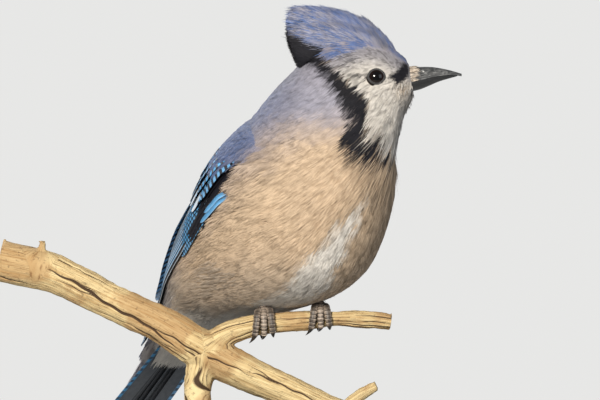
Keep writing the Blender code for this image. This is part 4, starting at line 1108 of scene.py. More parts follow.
def relax(points, tris, rounds, amount=0.5):
    """Evens out a closed skin by moving each point towards its neighbours."""
    edges = np.concatenate([tris[:, (0, 1)], tris[:, (1, 2)], tris[:, (2, 0)]])
    number = np.bincount(edges[:, 0], minlength=len(points))[:, None]
    for _ in range(rounds):
        total = np.stack([np.bincount(edges[:, 0], weights=points[edges[:, 1], k], minlength=len(points))
                          for k in range(3)], -1)
        points = points + (total / np.maximum(number, 1) - points) * amount
    return points


def skin_mesh():
    """One closed skin under the coat, the crest and the thighs, in the markings of the feathers over it."""
    places = np.linspace(2.4, 17.0, 90)
    turns = np.arange(0, 360, 6.0)
    depth = np.interp(places, COAT_PLACES, COAT_DEPTHS)[:, None]
    rings = body_point(places[:, None] + 0 * turns, turns + 0 * places[:, None], -depth)
    parts = [loft(rings)]
    rows = np.linspace(0.1, 8.9, 40)
    parts.append(loft(crest_spot(rows[:, None] + 0 * turns, turns + 0 * rows[:, None], 0.72, 0.66)))
    for side in LEGS:
        hip, ankle, _ = LEGS[side]
        t = np.linspace(0, 1, 16)
        centres = np.array(hip, float) + (np.array(ankle, float) - hip) * t[:, None]
        parts.append(swept(centres, thigh_radius(t, 1.6), 24))
    points, tris = voxel_points(parts, 1.1)
    points = relax(points, tris, 4)
    grid_p, grid_a = np.meshgrid(np.arange(0.5, 17.01, 0.1), np.arange(-180, 180, 4.0), indexing="ij")
    grid_p, grid_a = grid_p.ravel(), grid_a.ravel()
    samples = body_point(grid_p, grid_a)
    found, far = nearest(points, samples)
    crest_r, crest_a = np.meshgrid(np.arange(0, 9.01, 0.25), np.arange(-110, 111, 10.0), indexing="ij")
    crest_samples = crest_spot(crest_r.ravel(), crest_a.ravel(), 0.9)
    _, crest_far = nearest(points, crest_samples)
    marks = markings(grid_p[found], grid_a[found], points)
    x, z = points[:, 0], points[:, 2]
    black = soft_step(np.interp(x, NAPE_X, NAPE_Z) - z, 2.0) * (x < 24)
    crown = np.maximum(soft_step(z - np.interp(x, CROWN_X, CROWN_Z), 2.0), soft_step(18 - x, 2))
    marks = np.where((crest_far < far)[:, None], marks_of(len(x), crown, black, 1 - crown), marks)
    fine = np.tile((0.5, 0.2, 0.35, 0.5), (len(points), 1))
    return {"points": points, "tris": tris, "marks": marks, "fine": fine}


def eye_place(side):
    """An eyeball's centre and the way it looks."""
    place, angle = np.array([EYE_PLACE]), np.array([side * EYE_ANGLE])
    normal = body_normal(place, angle)[0]
    return body_point(place, angle)[0] - normal * (EYE_DEPTH - 0.3), normal


def from_gaze(points, side):
    """How far points lie from an eye's line of sight, and how far ahead of its centre."""
    centre, gaze = eye_place(side)
    away = points - centre
    ahead = away @ gaze
    return np.linalg.norm(away - gaze * ahead[:, None], axis=1), ahead


def eye_mesh(side):
    """An eyeball whose poles lie along its gaze, so that the pupil is round."""
    centre, normal = eye_place(side)
    t = np.linspace(0.02, math.pi - 0.02, 40)
    out = directions(normal, np.linspace(0, 2 * math.pi, 48, endpoint=False))
    rings = centre + EYE_RADIUS * (normal * np.cos(t)[:, None, None] + out[None] * np.sin(t)[:, None, None])
    data = loft(rings)
    data["tris"] = data["tris"][:, ::-1]
    fine = np.zeros((len(data["points"]), 4))
    fine[:, 2] = (data["points"] - centre) @ normal / EYE_RADIUS
    data["fine"] = fine
    return data


def lids_mesh(rng, side):
    """A beaded rim of bare skin round the eye, pulled to a corner in front and behind."""
    centre, normal = eye_place(side)
    one = unit(np.array((1.0, 0, 0.05)) - normal * normal[0])
    two = np.cross(normal, one)
    a = np.linspace(0, 2 * math.pi, 111)
    parts = []
    for number, (wider, thick, out) in enumerate(LIDS):
        r = EYE_SHOWN + wider + 0.35 * np.cos(a) ** 8
        line = (centre + normal * (EYE_DEPTH + out) + one * (r * np.cos(a))[:, None]
                + two * (r * 0.96 * np.sin(a))[:, None])
        beads = thick * (1 + 0.16 * np.sin(a * 26 + number))
        parts.append(swept(line, beads, 10, rng.uniform()))
    return joined(parts)


def bill_mesh(table, lower):
    """Half of the bill: round outside, with a raised ridge, and flat along the mouth."""
    a = np.linspace(0, math.pi, 27)
    flat = np.linspace(0.8, -0.8, 7)
    rings = []
    for x, outer, mouth, half in smooth(table, np.linspace(0, len(table) - 1, 46)):
        middle = HEAD_MIDDLE + BILL_TURN * (x - 54)
        high = outer - mouth
        y = np.concatenate([middle - half * np.cos(a), middle + half * flat])
        z = np.concatenate([mouth + high * np.sin(a) ** 0.8, mouth + 0.12 * high + 0 * flat])
        rings.append(np.stack([x + 0 * y, y, z], -1))
    data = loft(np.array(rings))
    points = data["points"]
    if not lower:
        for side in (-1, 1):
            nostril = np.array((58.4, HEAD_MIDDLE + side * 4.3, 110.6))
            near = np.linalg.norm((points - nostril) * (0.6, 1.0, 1.2), axis=1)
            points[:, 1] -= side * 1.1 * np.exp(-(near / 0.8) ** 2)
        data["tris"] = data["tris"][:, ::-1]
    x = points[:, 0]
    fine = np.zeros((len(points), 4))
    fine[:, 1] = x
    fine[:, 2] = np.abs(points[:, 2] - np.interp(x, table[:, 0], table[:, 2]))
    fine[:, 3] = np.clip((x - table[0, 0]) / (table[-1, 0] - table[0, 0]), 0, 1)
    data["fine"] = fine
    return data


def bill_skin(x, side, angle, lift):
    """Points off the upper bill, round from the mouth's line to the ridge."""
    outer, mouth, half = (np.interp(x, BILL_UPPER[:, 0], BILL_UPPER[:, k]) for k in (1, 2, 3))
    turn = np.radians(angle)
    return np.stack([x, HEAD_MIDDLE + BILL_TURN * (x - 54) + side * (half + lift) * np.cos(turn),
                     mouth + (outer - mouth + lift) * np.sin(turn) ** 0.8], -1)


def bristles(rng):
    """Stiff narrow feathers forward over the nostrils, and loose ones from the gape and chin."""
    batches = []
    count = 260
    side = np.where(np.arange(count) % 2, 1.0, -1.0)
    angle = rng.uniform(2, 86, count)
    start = rng.uniform(50.8, 53.6, count)
    length = rng.uniform(3.0, 5.2, count) * (1 - 0.3 * angle / 90)
    points = np.stack([bill_skin(start, side, angle, -0.2 + 0 * angle),
                       bill_skin(start + length / 2, side, angle, 0.3 + rng.uniform(0, 0.25, count)),
                       bill_skin(start + length, side, angle * 0.97, 0.1 + rng.uniform(0, 0.35, count))])
    turn = np.radians(angle)
    out = np.stack([0 * turn, side * np.cos(turn), np.sin(turn)], -1)
    dark = (rng.uniform(0, 1, count) < 0.3) * 0.75
    marks = marks_of(count, black=dark, white=rng.uniform(0.2, 0.7, count))
    roots = np.stack([0.9 + 0.02 * side, 0.79 + 0.02 * angle / 90], -1)
    batches.append(tufts(rng, points, np.stack([out] * 3), np.full(count, 0.34), marks, roots, 6, 0.15, 0.5,
                         0.06, 0.06))
    angle = rng.uniform(98, 180, count) * np.where(rng.uniform(0, 1, count) < 0.5, -1, 1)
    place = rng.uniform(15.4, 16.95, count)
    normal = body_normal(place, angle)
    root = body_point(place, angle, -0.3)
    lean = unit(0.35 * normal + np.array((-0.35, 0, -0.75)) + rng.normal(0, 0.16, (count, 3)))
    tip = root + lean * rng.uniform(1.8, 4.0, count)[:, None]
    points = np.stack([root, (root + tip) / 2 + normal * 0.25, tip])
    dark = (rng.uniform(0, 1, count) < 0.18) * 0.6
    marks = marks_of(count, black=dark, white=rng.uniform(0.8, 1.0, count))
    batches.append(tufts(rng, points, np.stack([normal] * 3), np.full(count, 0.32), marks,
                         body_uv(place, angle), 7, 0.25, 0.6, 0.055, 0.06))
    return batches


def side_branch(x):
    """Centres and radii of the side branch at distances along X."""
    route = np.array(BRANCHES[1][1])
    fine = smooth(route, np.linspace(0, len(route) - 1, 400))
    return (np.stack([np.interp(x, fine[:, 0], fine[:, k]) for k in (0, 1, 2)], -1),
            np.interp(x, fine[:, 0], fine[:, 3]))


def foot_pad(middle):
    """The middle of a foot's ball, over the side branch."""
    centre, radius = side_branch(np.array([middle]))
    return centre[0] + (0, 0.6, radius[0] + FOOT_GAP + 1.9)


def round_branch(where, angle, gap, forward):
    """A line round the side branch, at a gap off its bark."""
    centre, radius = side_branch(where)
    out = radius + gap
    return np.stack([where, centre[:, 1] + forward * out * np.sin(angle),
                     centre[:, 2] + out * np.cos(angle)], -1)


def plates(length, height, sunk):
    """How full a scaled skin is along its length, fullest at the start of each plate."""
    return 1 + height * (1 - ((length / SCUTE) % 1) ** 1.6) - sunk


def toe_parts(rng, middle, shape, pad):
    """One toe round the branch with its rings of scutes, and the claw beyond it."""
    offset, reach, spread, drop, lean = shape
    start = middle + offset
    forward = -1 if reach > 0 else 1
    thick = TOE_RADIUS * TOE_FULL
    t = np.linspace(0, 1, 60)
    line = round_branch(start + spread * t, np.radians(20 + (abs(reach) - 20) * t), FOOT_GAP + thick, forward)
    line = np.concatenate([pad + (line[0] - pad) * np.linspace(0, 0.9, 8)[:, None], line])
    share = np.concatenate([np.zeros(8), t])
    base = thick * (1.05 - 0.16 * share) + 0.12 * np.cos(6 * math.pi * share)
    toe = swept(line, base * plates(distances(line), 0.16, 0.1), 16, rng.uniform())
    t = np.linspace(0, 1, 24)
    gap = FOOT_GAP + TOE_RADIUS * (1 - 0.5 * t) + 0.1 + 0.3 * drop * t ** 1.6
    line = round_branch(start + spread + lean * t ** 1.3, np.radians(abs(reach) + 2 + 50 * t), gap, forward)
    return toe, swept(line, 1.3 - 1.24 * t ** 0.85, 14, rng.uniform())


def foot_parts(rng, side):
    """The scaled shank, ball and toes of one foot, and its four claws."""
    hip, ankle, middle = LEGS[side]
    pad = foot_pad(middle)
    pairs = [toe_parts(rng, middle, shape, pad) for shape in TOES]
    toes = [toe for toe, _ in pairs]
    top = ankle - 2.0 * unit(np.array(ankle, float) - hip)
    t = np.linspace(0, 1, 50)
    radii = np.interp(t, np.linspace(0, 1, len(SHANK_RADII)), SHANK_RADII)
    full = plates(t * np.linalg.norm(pad - top), 0.14, 0.06)
    toes.append(swept(top + (pad - top) * t[:, None], 1.15 * radii * full, 18, rng.uniform()))
    a = np.linspace(0.02, math.pi - 0.02, 20)
    ball = pad + (PAD_RADIUS * np.cos(a[::-1]))[:, None] * np.array((0, 0, 1.0))
    toes.append(swept(ball, PAD_RADIUS * np.sin(a), 20, rng.uniform()))
    return joined(toes), joined([claw for _, claw in pairs])


def split_mask(branch, along, around, radius):
    """How deep in a split each point of the branches is. Splits run along the grain and narrow at the ends."""
    rng = np.random.default_rng(SEEDS["splits"])
    splits = list(SPLITS)
    for number, (_, route, _, _) in enumerate(BRANCHES):
        length = np.linalg.norm(np.array(route[-1][:3]) - route[0][:3])
        for _ in range(int(length / SPLIT_STEP)):
            start = rng.uniform(-8, length - 6)
            angle = rng.uniform(-math.pi, math.pi)
            splits.append((number, start, start + rng.uniform(8, 46), angle, angle + rng.normal(0, 0.16),
                           rng.uniform(0.3, 0.5)))
    mask = np.zeros(len(along))
    for number, start, end, first, last, width in splits:
        t = (along - start) / (end - start)
        middle = first + (last - first) * t
        middle = middle + 0.05 * np.sin(along * 0.21 + first * 5) + 0.03 * np.sin(along * 0.6)
        away = np.abs((around - middle + math.pi) % (2 * math.pi) - math.pi) * radius
        narrow = width * np.clip(4 * t * (1 - t), 0, 1) ** 0.5
        edge = np.clip(0.5 + (narrow - away) / SPLIT_EDGE, 0, 1)
        mask = np.maximum(mask, (branch == number) * (t > 0) * (t < 1) * edge)
    return mask


def perch_mesh(settings):
    """The forked branch as one skin, with long splits, knots and weathered ends cut into it."""
    parts, lines = [], []
    for number, (_, route, steps, around) in enumerate(BRANCHES):
        fine = smooth(np.array(route, float), np.linspace(0, len(route) - 1, steps))
        parts.append(swept(fine[:, :3], fine[:, 3], around))
        ahead = unit(np.gradient(fine[:, :3], axis=0))
        lines.append(np.concatenate([fine, np.full((steps, 1), number), ahead], 1))
    points, tris = voxel_points(parts, settings.voxel / MM)
    points = relax(points, tris, 3)
    samples = np.concatenate(lines)
    found, _ = nearest(points, samples[:, :3])
    near = samples[found]
    branch, radius, ahead = near[:, 4], near[:, 3], near[:, 5:]
    offset = points - near[:, :3]
    along = np.zeros(len(points))
    for number, line in enumerate(lines):
        mine = branch == number
        along[mine] = (points[mine] - line[0, :3]) @ unit(line[-1, :3] - line[0, :3])
    square = unit(offset - ahead * (offset * ahead).sum(-1, keepdims=True))
    around = np.arctan2(square[:, 1], square[:, 2])
    split = split_mask(branch, along, around, radius)
    fine = np.stack([split, along, np.cos(around), np.sin(around)], -1)
    starts = np.cumsum([0] + [len(line) for line in lines])
    last = np.isin(found, starts[:-1]) | np.isin(found, starts[1:] - 1)
    at_end = last & (np.linalg.norm(offset, axis=1) < radius)
    moved = np.empty(len(points))
    for k, (spot, ring) in enumerate(zip(points, fine)):
        fibres = noise.noise(Vector((ring[1] * 0.06, ring[2] * 9, ring[3] * 9)))
        lumps = noise.noise(Vector(spot) * 0.07)
        dents = noise.noise(Vector(spot) * 0.3)
        broken = 1.6 * noise.noise(Vector(spot) * 0.5) if at_end[k] else 0.0
        moved[k] = 0.9 * lumps + 0.3 * fibres + 0.25 * dents + broken
    moved -= settings.split / MM * np.maximum(0.0, split - 0.4) / 0.6
    return {"points": points + unit(offset) * moved[:, None], "tris": tris, "fine": fine}


# Materials of the bare parts
def streaks_effect():
    """Fine streaks along a piece, as a mask and a height, from its own lengthwise coordinate."""
    group, given, out = effect("Streaks", {"Scale": "Float", "Stretch": "Float"},
                               {"Mask": "Float", "Fine": "Float"})
    if given is None:
        return group
    _, along, one, two = four(group, "fine")
    scale, stretch = given.outputs["Scale"], given.outputs["Stretch"]
    vector = wire(group, "ShaderNodeCombineXYZ", {0: maths(group, "MULTIPLY", along, stretch),
                                                  1: maths(group, "MULTIPLY", one, scale),
                                                  2: maths(group, "MULTIPLY", two, scale)})
    rough = wire(group, "ShaderNodeTexNoise", {"Vector": vector.outputs[0], "Scale": 1.0, "Detail": 6.0})
    close = wire(group, "ShaderNodeTexNoise", {"Vector": vector.outputs[0], "Scale": 4.0, "Detail": 4.0})
    group.links.new(rough.outputs[0], out.inputs["Mask"])
    group.links.new(close.outputs[0], out.inputs["Fine"])
    return group


def speckle_effect():
    """Small scattered specks as a mask."""
    group, given, out = effect("Specks", {"Scale": "Float", "Amount": "Float"}, {"Mask": "Float"})
    if given is None:
        return group
    noisy = {"Vector": position(group), "Scale": given.outputs["Scale"], "Detail": 3.0}
    cells = wire(group, "ShaderNodeTexNoise", noisy).outputs[0]
    amount = given.outputs["Amount"]
    group.links.new(ramp(group, cells, amount, maths(group, "ADD", amount, 0.06)), out.inputs["Mask"])
    return group


def specks_mask(tree, scale, amount):
    """Small scattered specks in a material."""
    values = {"Scale": scale, "Amount": amount}
    return wire(tree, "ShaderNodeGroup", values, node_tree=speckle_effect()).outputs[0]


def overlaid(tree, colour, over, mask, strength):
    """A colour with a plain colour over it where a mask is, up to a strength."""
    return blend(tree, maths(tree, "MULTIPLY", mask, strength), colour, rgba(over))


def wood_material(context):
    """Bleached wood with darker grain, stains, specks and dark splits."""
    colours = context.scene.jay_perch
    made, tree, shader = finish("bare_wood", 0.78, Specular_IOR_Level=0.25)
    grain = wire(tree, "ShaderNodeGroup", {"Scale": 8.0, "Stretch": 0.035}, node_tree=streaks_effect())
    split, _, _, _ = four(tree, "fine")
    colour = blend(tree, ramp(tree, grain.outputs["Mask"], 0.35, 0.65), rgba(colours.wood),
                   rgba(colours.dark_wood))
    colour = overlaid(tree, colour, colours.crack, ramp(tree, grain.outputs["Fine"], 0.55, 0.66), 0.75)
    colour = overlaid(tree, colour, colours.stain, specks_mask(tree, 40.0, 0.5), 0.5)
    colour = overlaid(tree, colour, colours.crack, specks_mask(tree, 700.0, 0.62), 0.4)
    colour = blend(tree, ramp(tree, split, 0.5, 0.62), colour, rgba(colours.crack))
    tree.links.new(colour, shader.inputs["Base Color"])
    bump(tree, shader, grain.outputs["Fine"], 0.5, 0.0006)
    return made


def scale_material(context):
    """Plates of the toes and shanks, with pale rims from wear and painted highlight, dark grooves, and painted
    shade down their sides.
    """
    colours = context.scene.jay_bare
    made, tree, shader = finish("scaled_skin", 0.5, Specular_IOR_Level=0.45)
    _, along, top, _ = four(tree, "fine")
    plate = maths(tree, "FRACT", maths(tree, "MULTIPLY", along, 1 / SCUTE))
    groove = ramp(tree, plate, 0.6, 0.95)
    # Both sides of each toe and shank darkened towards the groove's colour: painted shade where they turn away
    # and meet the next toe
    flank = ramp(tree, maths(tree, "ABSOLUTE", top), 0.6, 0.95, 0.0, 0.7)
    colour = overlaid(tree, rgba(colours.scute), colours.skin, specks_mask(tree, 900.0, 0.5), 0.5)
    # Pale at the raised start of each plate: wear, and a painted highlight
    colour = overlaid(tree, colour, colours.scute_rim_and_highlight, ramp(tree, plate, 0.05, 0.3, 1.0, 0.0), 0.6)
    colour = blend(tree, flank, colour, rgba(colours.groove))
    colour = blend(tree, groove, colour, rgba(colours.groove))
    tree.links.new(colour, shader.inputs["Base Color"])
    bump(tree, shader, groove, -0.4, 0.0003)
    return made


def horn_material(name, colour, pale, roughness):
    """Smooth horn or bare skin with paler streaks: wear, and on the bill also painted highlights."""
    made, tree, shader = finish(name, roughness, Specular_IOR_Level=0.5, Coat_Weight=0.15, Coat_Roughness=0.3)
    streak = wire(tree, "ShaderNodeGroup", {"Scale": 2.2, "Stretch": 0.35}, node_tree=streaks_effect())
    # Paler streaks: wear, and on the bill painted highlights
    wear_and_highlight = ramp(tree, streak.outputs["Mask"], 0.45, 0.75)
    tone = overlaid(tree, rgba(colour), pale, wear_and_highlight, 0.6)
    tone = overlaid(tree, tone, pale, specks_mask(tree, 500.0, 0.6), 0.35)
    tree.links.new(tone, shader.inputs["Base Color"])
    bump(tree, shader, streak.outputs["Fine"], 0.2, 0.0002)
    return made


def eye_material(context):
    """A dark glossy eye with a black pupil."""
    colours = context.scene.jay_bare
    made, tree, shader = finish("eye", 0.12, Specular_IOR_Level=0.25, Coat_Weight=0.22, Coat_Roughness=0.04)
    _, _, gaze, _ = four(tree, "fine")
    fibres = wire(tree, "ShaderNodeTexNoise", {"Scale": 900.0, "Detail": 2.0}).outputs[0]
    iris = blend(tree, fibres, rgba(colours.iris), rgba(scaled(colours.iris, 0.4)))
    colour = blend(tree, ramp(tree, gaze, 0.885, 0.9), iris, rgba(PUPIL))
    tree.links.new(colour, shader.inputs["Base Color"])
    return made


def stand_material(context):
    """Dark paint with fine specks and a little dust."""
    colours = context.scene.jay_stage
    made, tree, shader = finish("stand_paint", 0.42, Coat_Weight=0.2, Coat_Roughness=0.3)
    specks = specks_mask(tree, 900.0, 0.5)
    colour = overlaid(tree, rgba(colours.base), scaled(colours.base, 2.2), specks, 0.2)
    colour = overlaid(tree, colour, scaled(colours.base, 1.8), specks_mask(tree, 35.0, 0.5), 0.12)
    tree.links.new(colour, shader.inputs["Base Color"])
    bump(tree, shader, specks, 0.15, 0.0001)
    return made


def rod_material(context):
    """Brushed steel."""
    colours = context.scene.jay_stage
    made, tree, shader = finish("brushed_rod", 0.34, 1.0)
    place = wire(tree, "ShaderNodeVectorMath", {0: position(tree), 1: (4.0, 4.0, 60.0)}, operation="MULTIPLY")
    noisy = {"Vector": place.outputs[0], "Scale": 60.0, "Detail": 4.0}
    brush = wire(tree, "ShaderNodeTexNoise", noisy).outputs[0]
    colour = blend(tree, brush, rgba(colours.rod), rgba(scaled(colours.rod, 0.7)))
    tree.links.new(colour, shader.inputs["Base Color"])
    tree.links.new(ramp(tree, brush, 0.3, 0.7, 0.28, 0.42), shader.inputs["Roughness"])
    return made


# What a user can change
def colour_setting(name, text, value):
    """A plain colour that a user can change."""
    return FloatVectorProperty(name=name, description=text, subtype="COLOR", size=3, min=0, max=1,
                               default=value)


class PlumageSettings(bpy.types.PropertyGroup):
    """Fineness and colours of the coat"""
    barbs: IntProperty(name="Barbs", description="Loose barbs on each body feather", default=22, min=4,
                       max=30)
    barb: FloatProperty(name="Barb", description="Width of a loose barb", default=0.00038, unit="LENGTH")
    width: FloatProperty(name="Width", description="Half a feather's width against its length", default=0.2,
                         min=0.1, max=0.5)
    gap: FloatProperty(name="Gap", description="Step between feathers against their length", default=0.17,
                       min=0.1, max=0.5)
    blue: colour_setting("Blue", "Crown and back", (0.105, 0.16, 0.34))
    wing_blue: colour_setting("Wing blue", "Barred wing and tail feathers", (0.035, 0.25, 0.52))
    violet: colour_setting("Violet", "Nape, mantle and shoulder", (0.27, 0.265, 0.315))
    black: colour_setting("Black", "Collar, nape, bars and inner webs", (0.010, 0.010, 0.014))
    white: colour_setting("White", "Face, throat and belly", (0.62, 0.59, 0.545))
    pale_edge: colour_setting("Pale edge", "Tips and edges of wing and tail feathers", (0.55, 0.62, 0.70))
    buff: colour_setting("Buff", "Breast and flanks", (0.47, 0.355, 0.245))


class BareSettings(bpy.types.PropertyGroup):
    """Colours of bill, eyes and feet"""
    bill: colour_setting("Bill", "Dark horn of the bill", (0.026, 0.028, 0.03))
    # Paler streaks on the bill: wear, and partly painted highlight
    bill_wear_and_highlight: colour_setting("Bill wear and highlight", "Paler streaks on the bill", (0.23, 0.235, 0.235))
    claw: colour_setting("Claw", "Dark horn of the claws", (0.016, 0.014, 0.013))
    iris: colour_setting("Iris", "The eye round its pupil", (0.010, 0.0045, 0.003))
    lids: colour_setting("Lids", "Bare rim of the eye", (0.012, 0.012, 0.013))
    scute: colour_setting("Scute", "Plates of the toes and shanks", (0.25, 0.20, 0.16))
    # Pale plate rims: wear, and partly painted highlight
    scute_rim_and_highlight: colour_setting("Scute rim and highlight", "Pale rims of the plates, from wear and painted highlight", (0.62, 0.53, 0.43))
    skin: colour_setting("Skin", "Darker mottling of the plates", (0.045, 0.034, 0.027))
    groove: colour_setting("Groove", "Between the plates", (0.010, 0.008, 0.007))


class PerchSettings(bpy.types.PropertyGroup):
    """Detail and colours of the branch"""
    voxel: FloatProperty(name="Detail", description="Size of the branch's surface cells", default=0.0005,
                         min=0.0003, unit="LENGTH")
    split: FloatProperty(name="Split", description="Depth of the long splits", default=0.0011, unit="LENGTH")
    wood: colour_setting("Wood", "Bleached wood", (0.62, 0.50, 0.275))
    dark_wood: colour_setting("Dark wood", "Darker grain", (0.40, 0.275, 0.125))
    stain: colour_setting("Stain", "Orange-brown patches", (0.27, 0.135, 0.05))
    crack: colour_setting("Crack", "Splits and specks", (0.05, 0.028, 0.014))


class StageSettings(bpy.types.PropertyGroup):
    """Stand, floor, light and camera"""
    base: colour_setting("Base", "Painted base", (0.035, 0.035, 0.038))
    rod: colour_setting("Rod", "Steel rods", (0.55, 0.55, 0.56))
    floor: colour_setting("Floor", "Pale floor", (0.50, 0.50, 0.49))
    key: FloatProperty(name="Key light", description="Strength of the main soft light", default=63.0,
                       unit="POWER")
    fill: FloatProperty(name="Fill light", description="Strength of the light from the right", default=5.0,
                        unit="POWER")
    rim: FloatProperty(name="Rim light", description="Strength of the light from behind", default=22.0,
                       unit="POWER")
    distance: FloatProperty(name="Camera distance", description="From the camera to the bird", default=3.0,
                            unit="LENGTH")


# Operators
class MakeSkin(bpy.types.Operator):
    """One skin under the whole coat, in the same markings"""
    bl_idname = "jay.skin"
    bl_label = "Skin"

    def execute(self, context):
        piece = mesh_from("skin", skin_mesh(), plumage_material(context))
        settle(piece, "head", "neck", "torso", "thigh_left", "thigh_right")
        return {"FINISHED"}


class MakeCoat(bpy.types.Operator):
    """Feathers of the body, neck and thighs"""
    bl_idname = "jay.coat"
    bl_label = "Body feathers"

    def execute(self, context):
        settings = context.scene.jay_plumage
        rng = np.random.default_rng(SEEDS["coat"])
        place, angle = spread_over(rng, 1.2, 12.9, settings.gap)
        inside, lower = wing_cover(place, angle)
        opened = soft_step(place - 6.4, 0.8) * soft_step(9.6 - place, 0.8)
        shown = inside < np.where(lower, -1 - 5 * opened, 9)
        shown &= place > 1.2 + 1.2 * soft_step(np.abs(angle) - 85, 20)
        place, angle = place[shown], angle[shown]
        order = np.argsort(place, kind="stable")
        place, angle = place[order], angle[order]
        batches = [body_feathers(rng, p, a, settings) for p, a in in_lots(300, place, angle)]
        batches += [thigh_feathers(rng, side, settings) for side in LEGS]
        batches += [wisps(rng, side) for side in (-1, 1)]
        coat_pieces("body_feathers", batches, plumage_material(context))
        return {"FINISHED"}


class MakeFace(bpy.types.Operator):
    """Small feathers of the head and throat, and the bristles at the bill"""
    bl_idname = "jay.face"
    bl_label = "Face feathers"

    def execute(self, context):
        settings = context.scene.jay_plumage
        rng = np.random.default_rng(SEEDS["face"])
        place, angle = spread_over(rng, 12.9, 16.95, settings.gap * FACE_GAP)
        spots = body_point(place, angle)
        clear = np.ones(len(place), bool)
        for side in (-1, 1):
            aside, ahead = from_gaze(spots, side)
            clear &= (aside > EYE_SHOWN + 0.55) | (ahead < 0)
        place, angle = place[clear], angle[clear]
        length = np.interp(place, COAT_PLACES, COAT_LENGTHS) * rng.uniform(0.85, 1.15, len(place))
        length *= 1 + 1.1 * soft_step(degrees_off(angle) - 110, 40)
        for _ in range(4):
            tips = laid(place, angle, length, 0 * place, 0, 0 * place)[0][2]
            for side in (-1, 1):
                aside, ahead = from_gaze(tips, side)
                length[(aside < EYE_SHOWN + 0.3) & (ahead > 0)] *= 0.62
        kept = length > 1.0
        batches = [face_feathers(rng, *lot, settings)
                   for lot in in_lots(500, place[kept], angle[kept], length[kept])]
        coat_pieces("face_feathers", batches, plumage_material(context))
        coat_pieces("bristles", bristles(rng), plumage_material(context))
        return {"FINISHED"}


class MakeCrest(bpy.types.Operator):
    """Long feathers of the crest"""
    bl_idname = "jay.crest"
    bl_label = "Crest"

    def execute(self, context):
        rng = np.random.default_rng(SEEDS["crest"])
        batches = [crest_feathers(rng, context.scene.jay_plumage)]
        coat_pieces("crest_feathers", batches, plumage_material(context, "crest_plumage", 0.55))
        return {"FINISHED"}


class MakeWings(bpy.types.Operator):
    """Flight feathers, coverts and shoulder feathers of both wings"""
    bl_idname = "jay.wings"
    bl_label = "Wings"

    def execute(self, context):
        settings = context.scene.jay_plumage
        for side, node in ((-1, "wing_right"), (1, "wing_left")):
            rng = np.random.default_rng(SEEDS["wings"])
            feathers = joined(wing_feathers(rng, side))
            settle(mesh_from(node + "_feathers", feathers, flight_material(context), 50), node)
            shoulder = [shoulder_feathers(rng, side, settings)]
            coat_pieces(node + "_shoulder", shoulder, plumage_material(context))
        return {"FINISHED"}


class MakeTail(bpy.types.Operator):
    """The twelve tail feathers"""
    bl_idname = "jay.tail"
    bl_label = "Tail"

    def execute(self, context):
        rng = np.random.default_rng(SEEDS["tail"])
        piece = mesh_from("tail_feathers", joined(tail_feathers(rng)), flight_material(context), 50)
        settle(piece, "tail")
        return {"FINISHED"}


class MakeEyes(bpy.types.Operator):
    """Glossy dark eyes in beaded lids"""
    bl_idname = "jay.eyes"
    bl_label = "Eyes"

    def execute(self, context):
        look = eye_material(context)
        colours = context.scene.jay_bare
        rim = horn_material("lids", colours.lids, scaled(colours.lids, 2.5), 0.55)
        rng = np.random.default_rng(SEEDS["eyes"])
        for side, name in ((-1, "right"), (1, "left")):
            settle(mesh_from("eyeball_" + name, eye_mesh(side), look), "eye_" + name)
            settle(mesh_from("lids_" + name, lids_mesh(rng, side), rim))
        return {"FINISHED"}


class MakeBill(bpy.types.Operator):
    """Both halves of the bill"""
    bl_idname = "jay.bill"
    bl_label = "Bill"

    def execute(self, context):
        colours = context.scene.jay_bare
        look = horn_material("bill_horn", colours.bill, colours.bill_wear_and_highlight, 0.36)
        settle(mesh_from("upper_bill_horn", bill_mesh(BILL_UPPER, False), look, 50), "bill_upper")
        # The lower half in the same horn at 0.4 of its colour: painted shade on the half that faces down
        look = horn_material("shaded_bill_horn", scaled(colours.bill, 0.4), colours.bill, 0.4)
        settle(mesh_from("lower_bill_horn", bill_mesh(BILL_LOWER, True), look, 50), "bill_lower")
        return {"FINISHED"}


class MakeFeet(bpy.types.Operator):
    """Scaled shanks and toes with dark claws"""
    bl_idname = "jay.feet"
    bl_label = "Feet"

    def execute(self, context):
        colours = context.scene.jay_bare
        scales = scale_material(context)
        horn = horn_material("claw_horn", colours.claw, scaled(colours.claw, 3), 0.32)
        rng = np.random.default_rng(SEEDS["feet"])
        for side in LEGS:
            toes, claws = foot_parts(rng, side)
            settle(mesh_from("toes_" + side, toes, scales), "foot_" + side, "tarsus_" + side)
            settle(mesh_from("claws_" + side, claws, horn), *["claw_%s_%d" % (side, k) for k in (1, 2, 3, 4)])
        return {"FINISHED"}


class MakePerch(bpy.types.Operator):
    """The forked, split and bleached branch"""
    bl_idname = "jay.perch"
    bl_label = "Branch"

    def execute(self, context):
        piece = mesh_from("perch_wood", perch_mesh(context.scene.jay_perch), wood_material(context))
        settle(piece, "perch_branch")
        return {"FINISHED"}


class MakeStand(bpy.types.Operator):
    """The turned base and its two rods"""
    bl_idname = "jay.stand"
    bl_label = "Stand"

    def execute(self, context):
        low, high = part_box("stand_base")
        middle = (low + high) / 2 / MM - Vector(SPOT)
        radius, top, bottom = (high.x - low.x) / 2 / MM, high.z / MM - SPOT[2], low.z / MM - SPOT[2]
        rounding = 1.5
        profile = [(radius - 3, bottom), (radius - 0.5, bottom), (radius, bottom + 0.5)]
        profile += [(radius - rounding + rounding * math.cos(a), top - rounding + rounding * math.sin(a))
                    for a in np.linspace(0, math.pi / 2, 8)]
        profile += [(radius - 5, top), (radius - 9, top)]
        a = np.linspace(0, 2 * math.pi, 160, endpoint=False)
        rings = [np.stack([middle.x + r * np.cos(a), middle.y + r * np.sin(a), z + 0 * a], -1)
                 for r, z in profile]
        piece = mesh_from("stand_disc", loft(np.array(rings)), stand_material(context), 35)
        settle(piece, "stand_base")
        steel = rod_material(context)
        for node in ("stand_rod_1", "stand_rod_2"):
            rod = frame["nodes"][node]
            rod.data.materials.clear()
            rod.data.materials.append(steel)
        return {"FINISHED"}


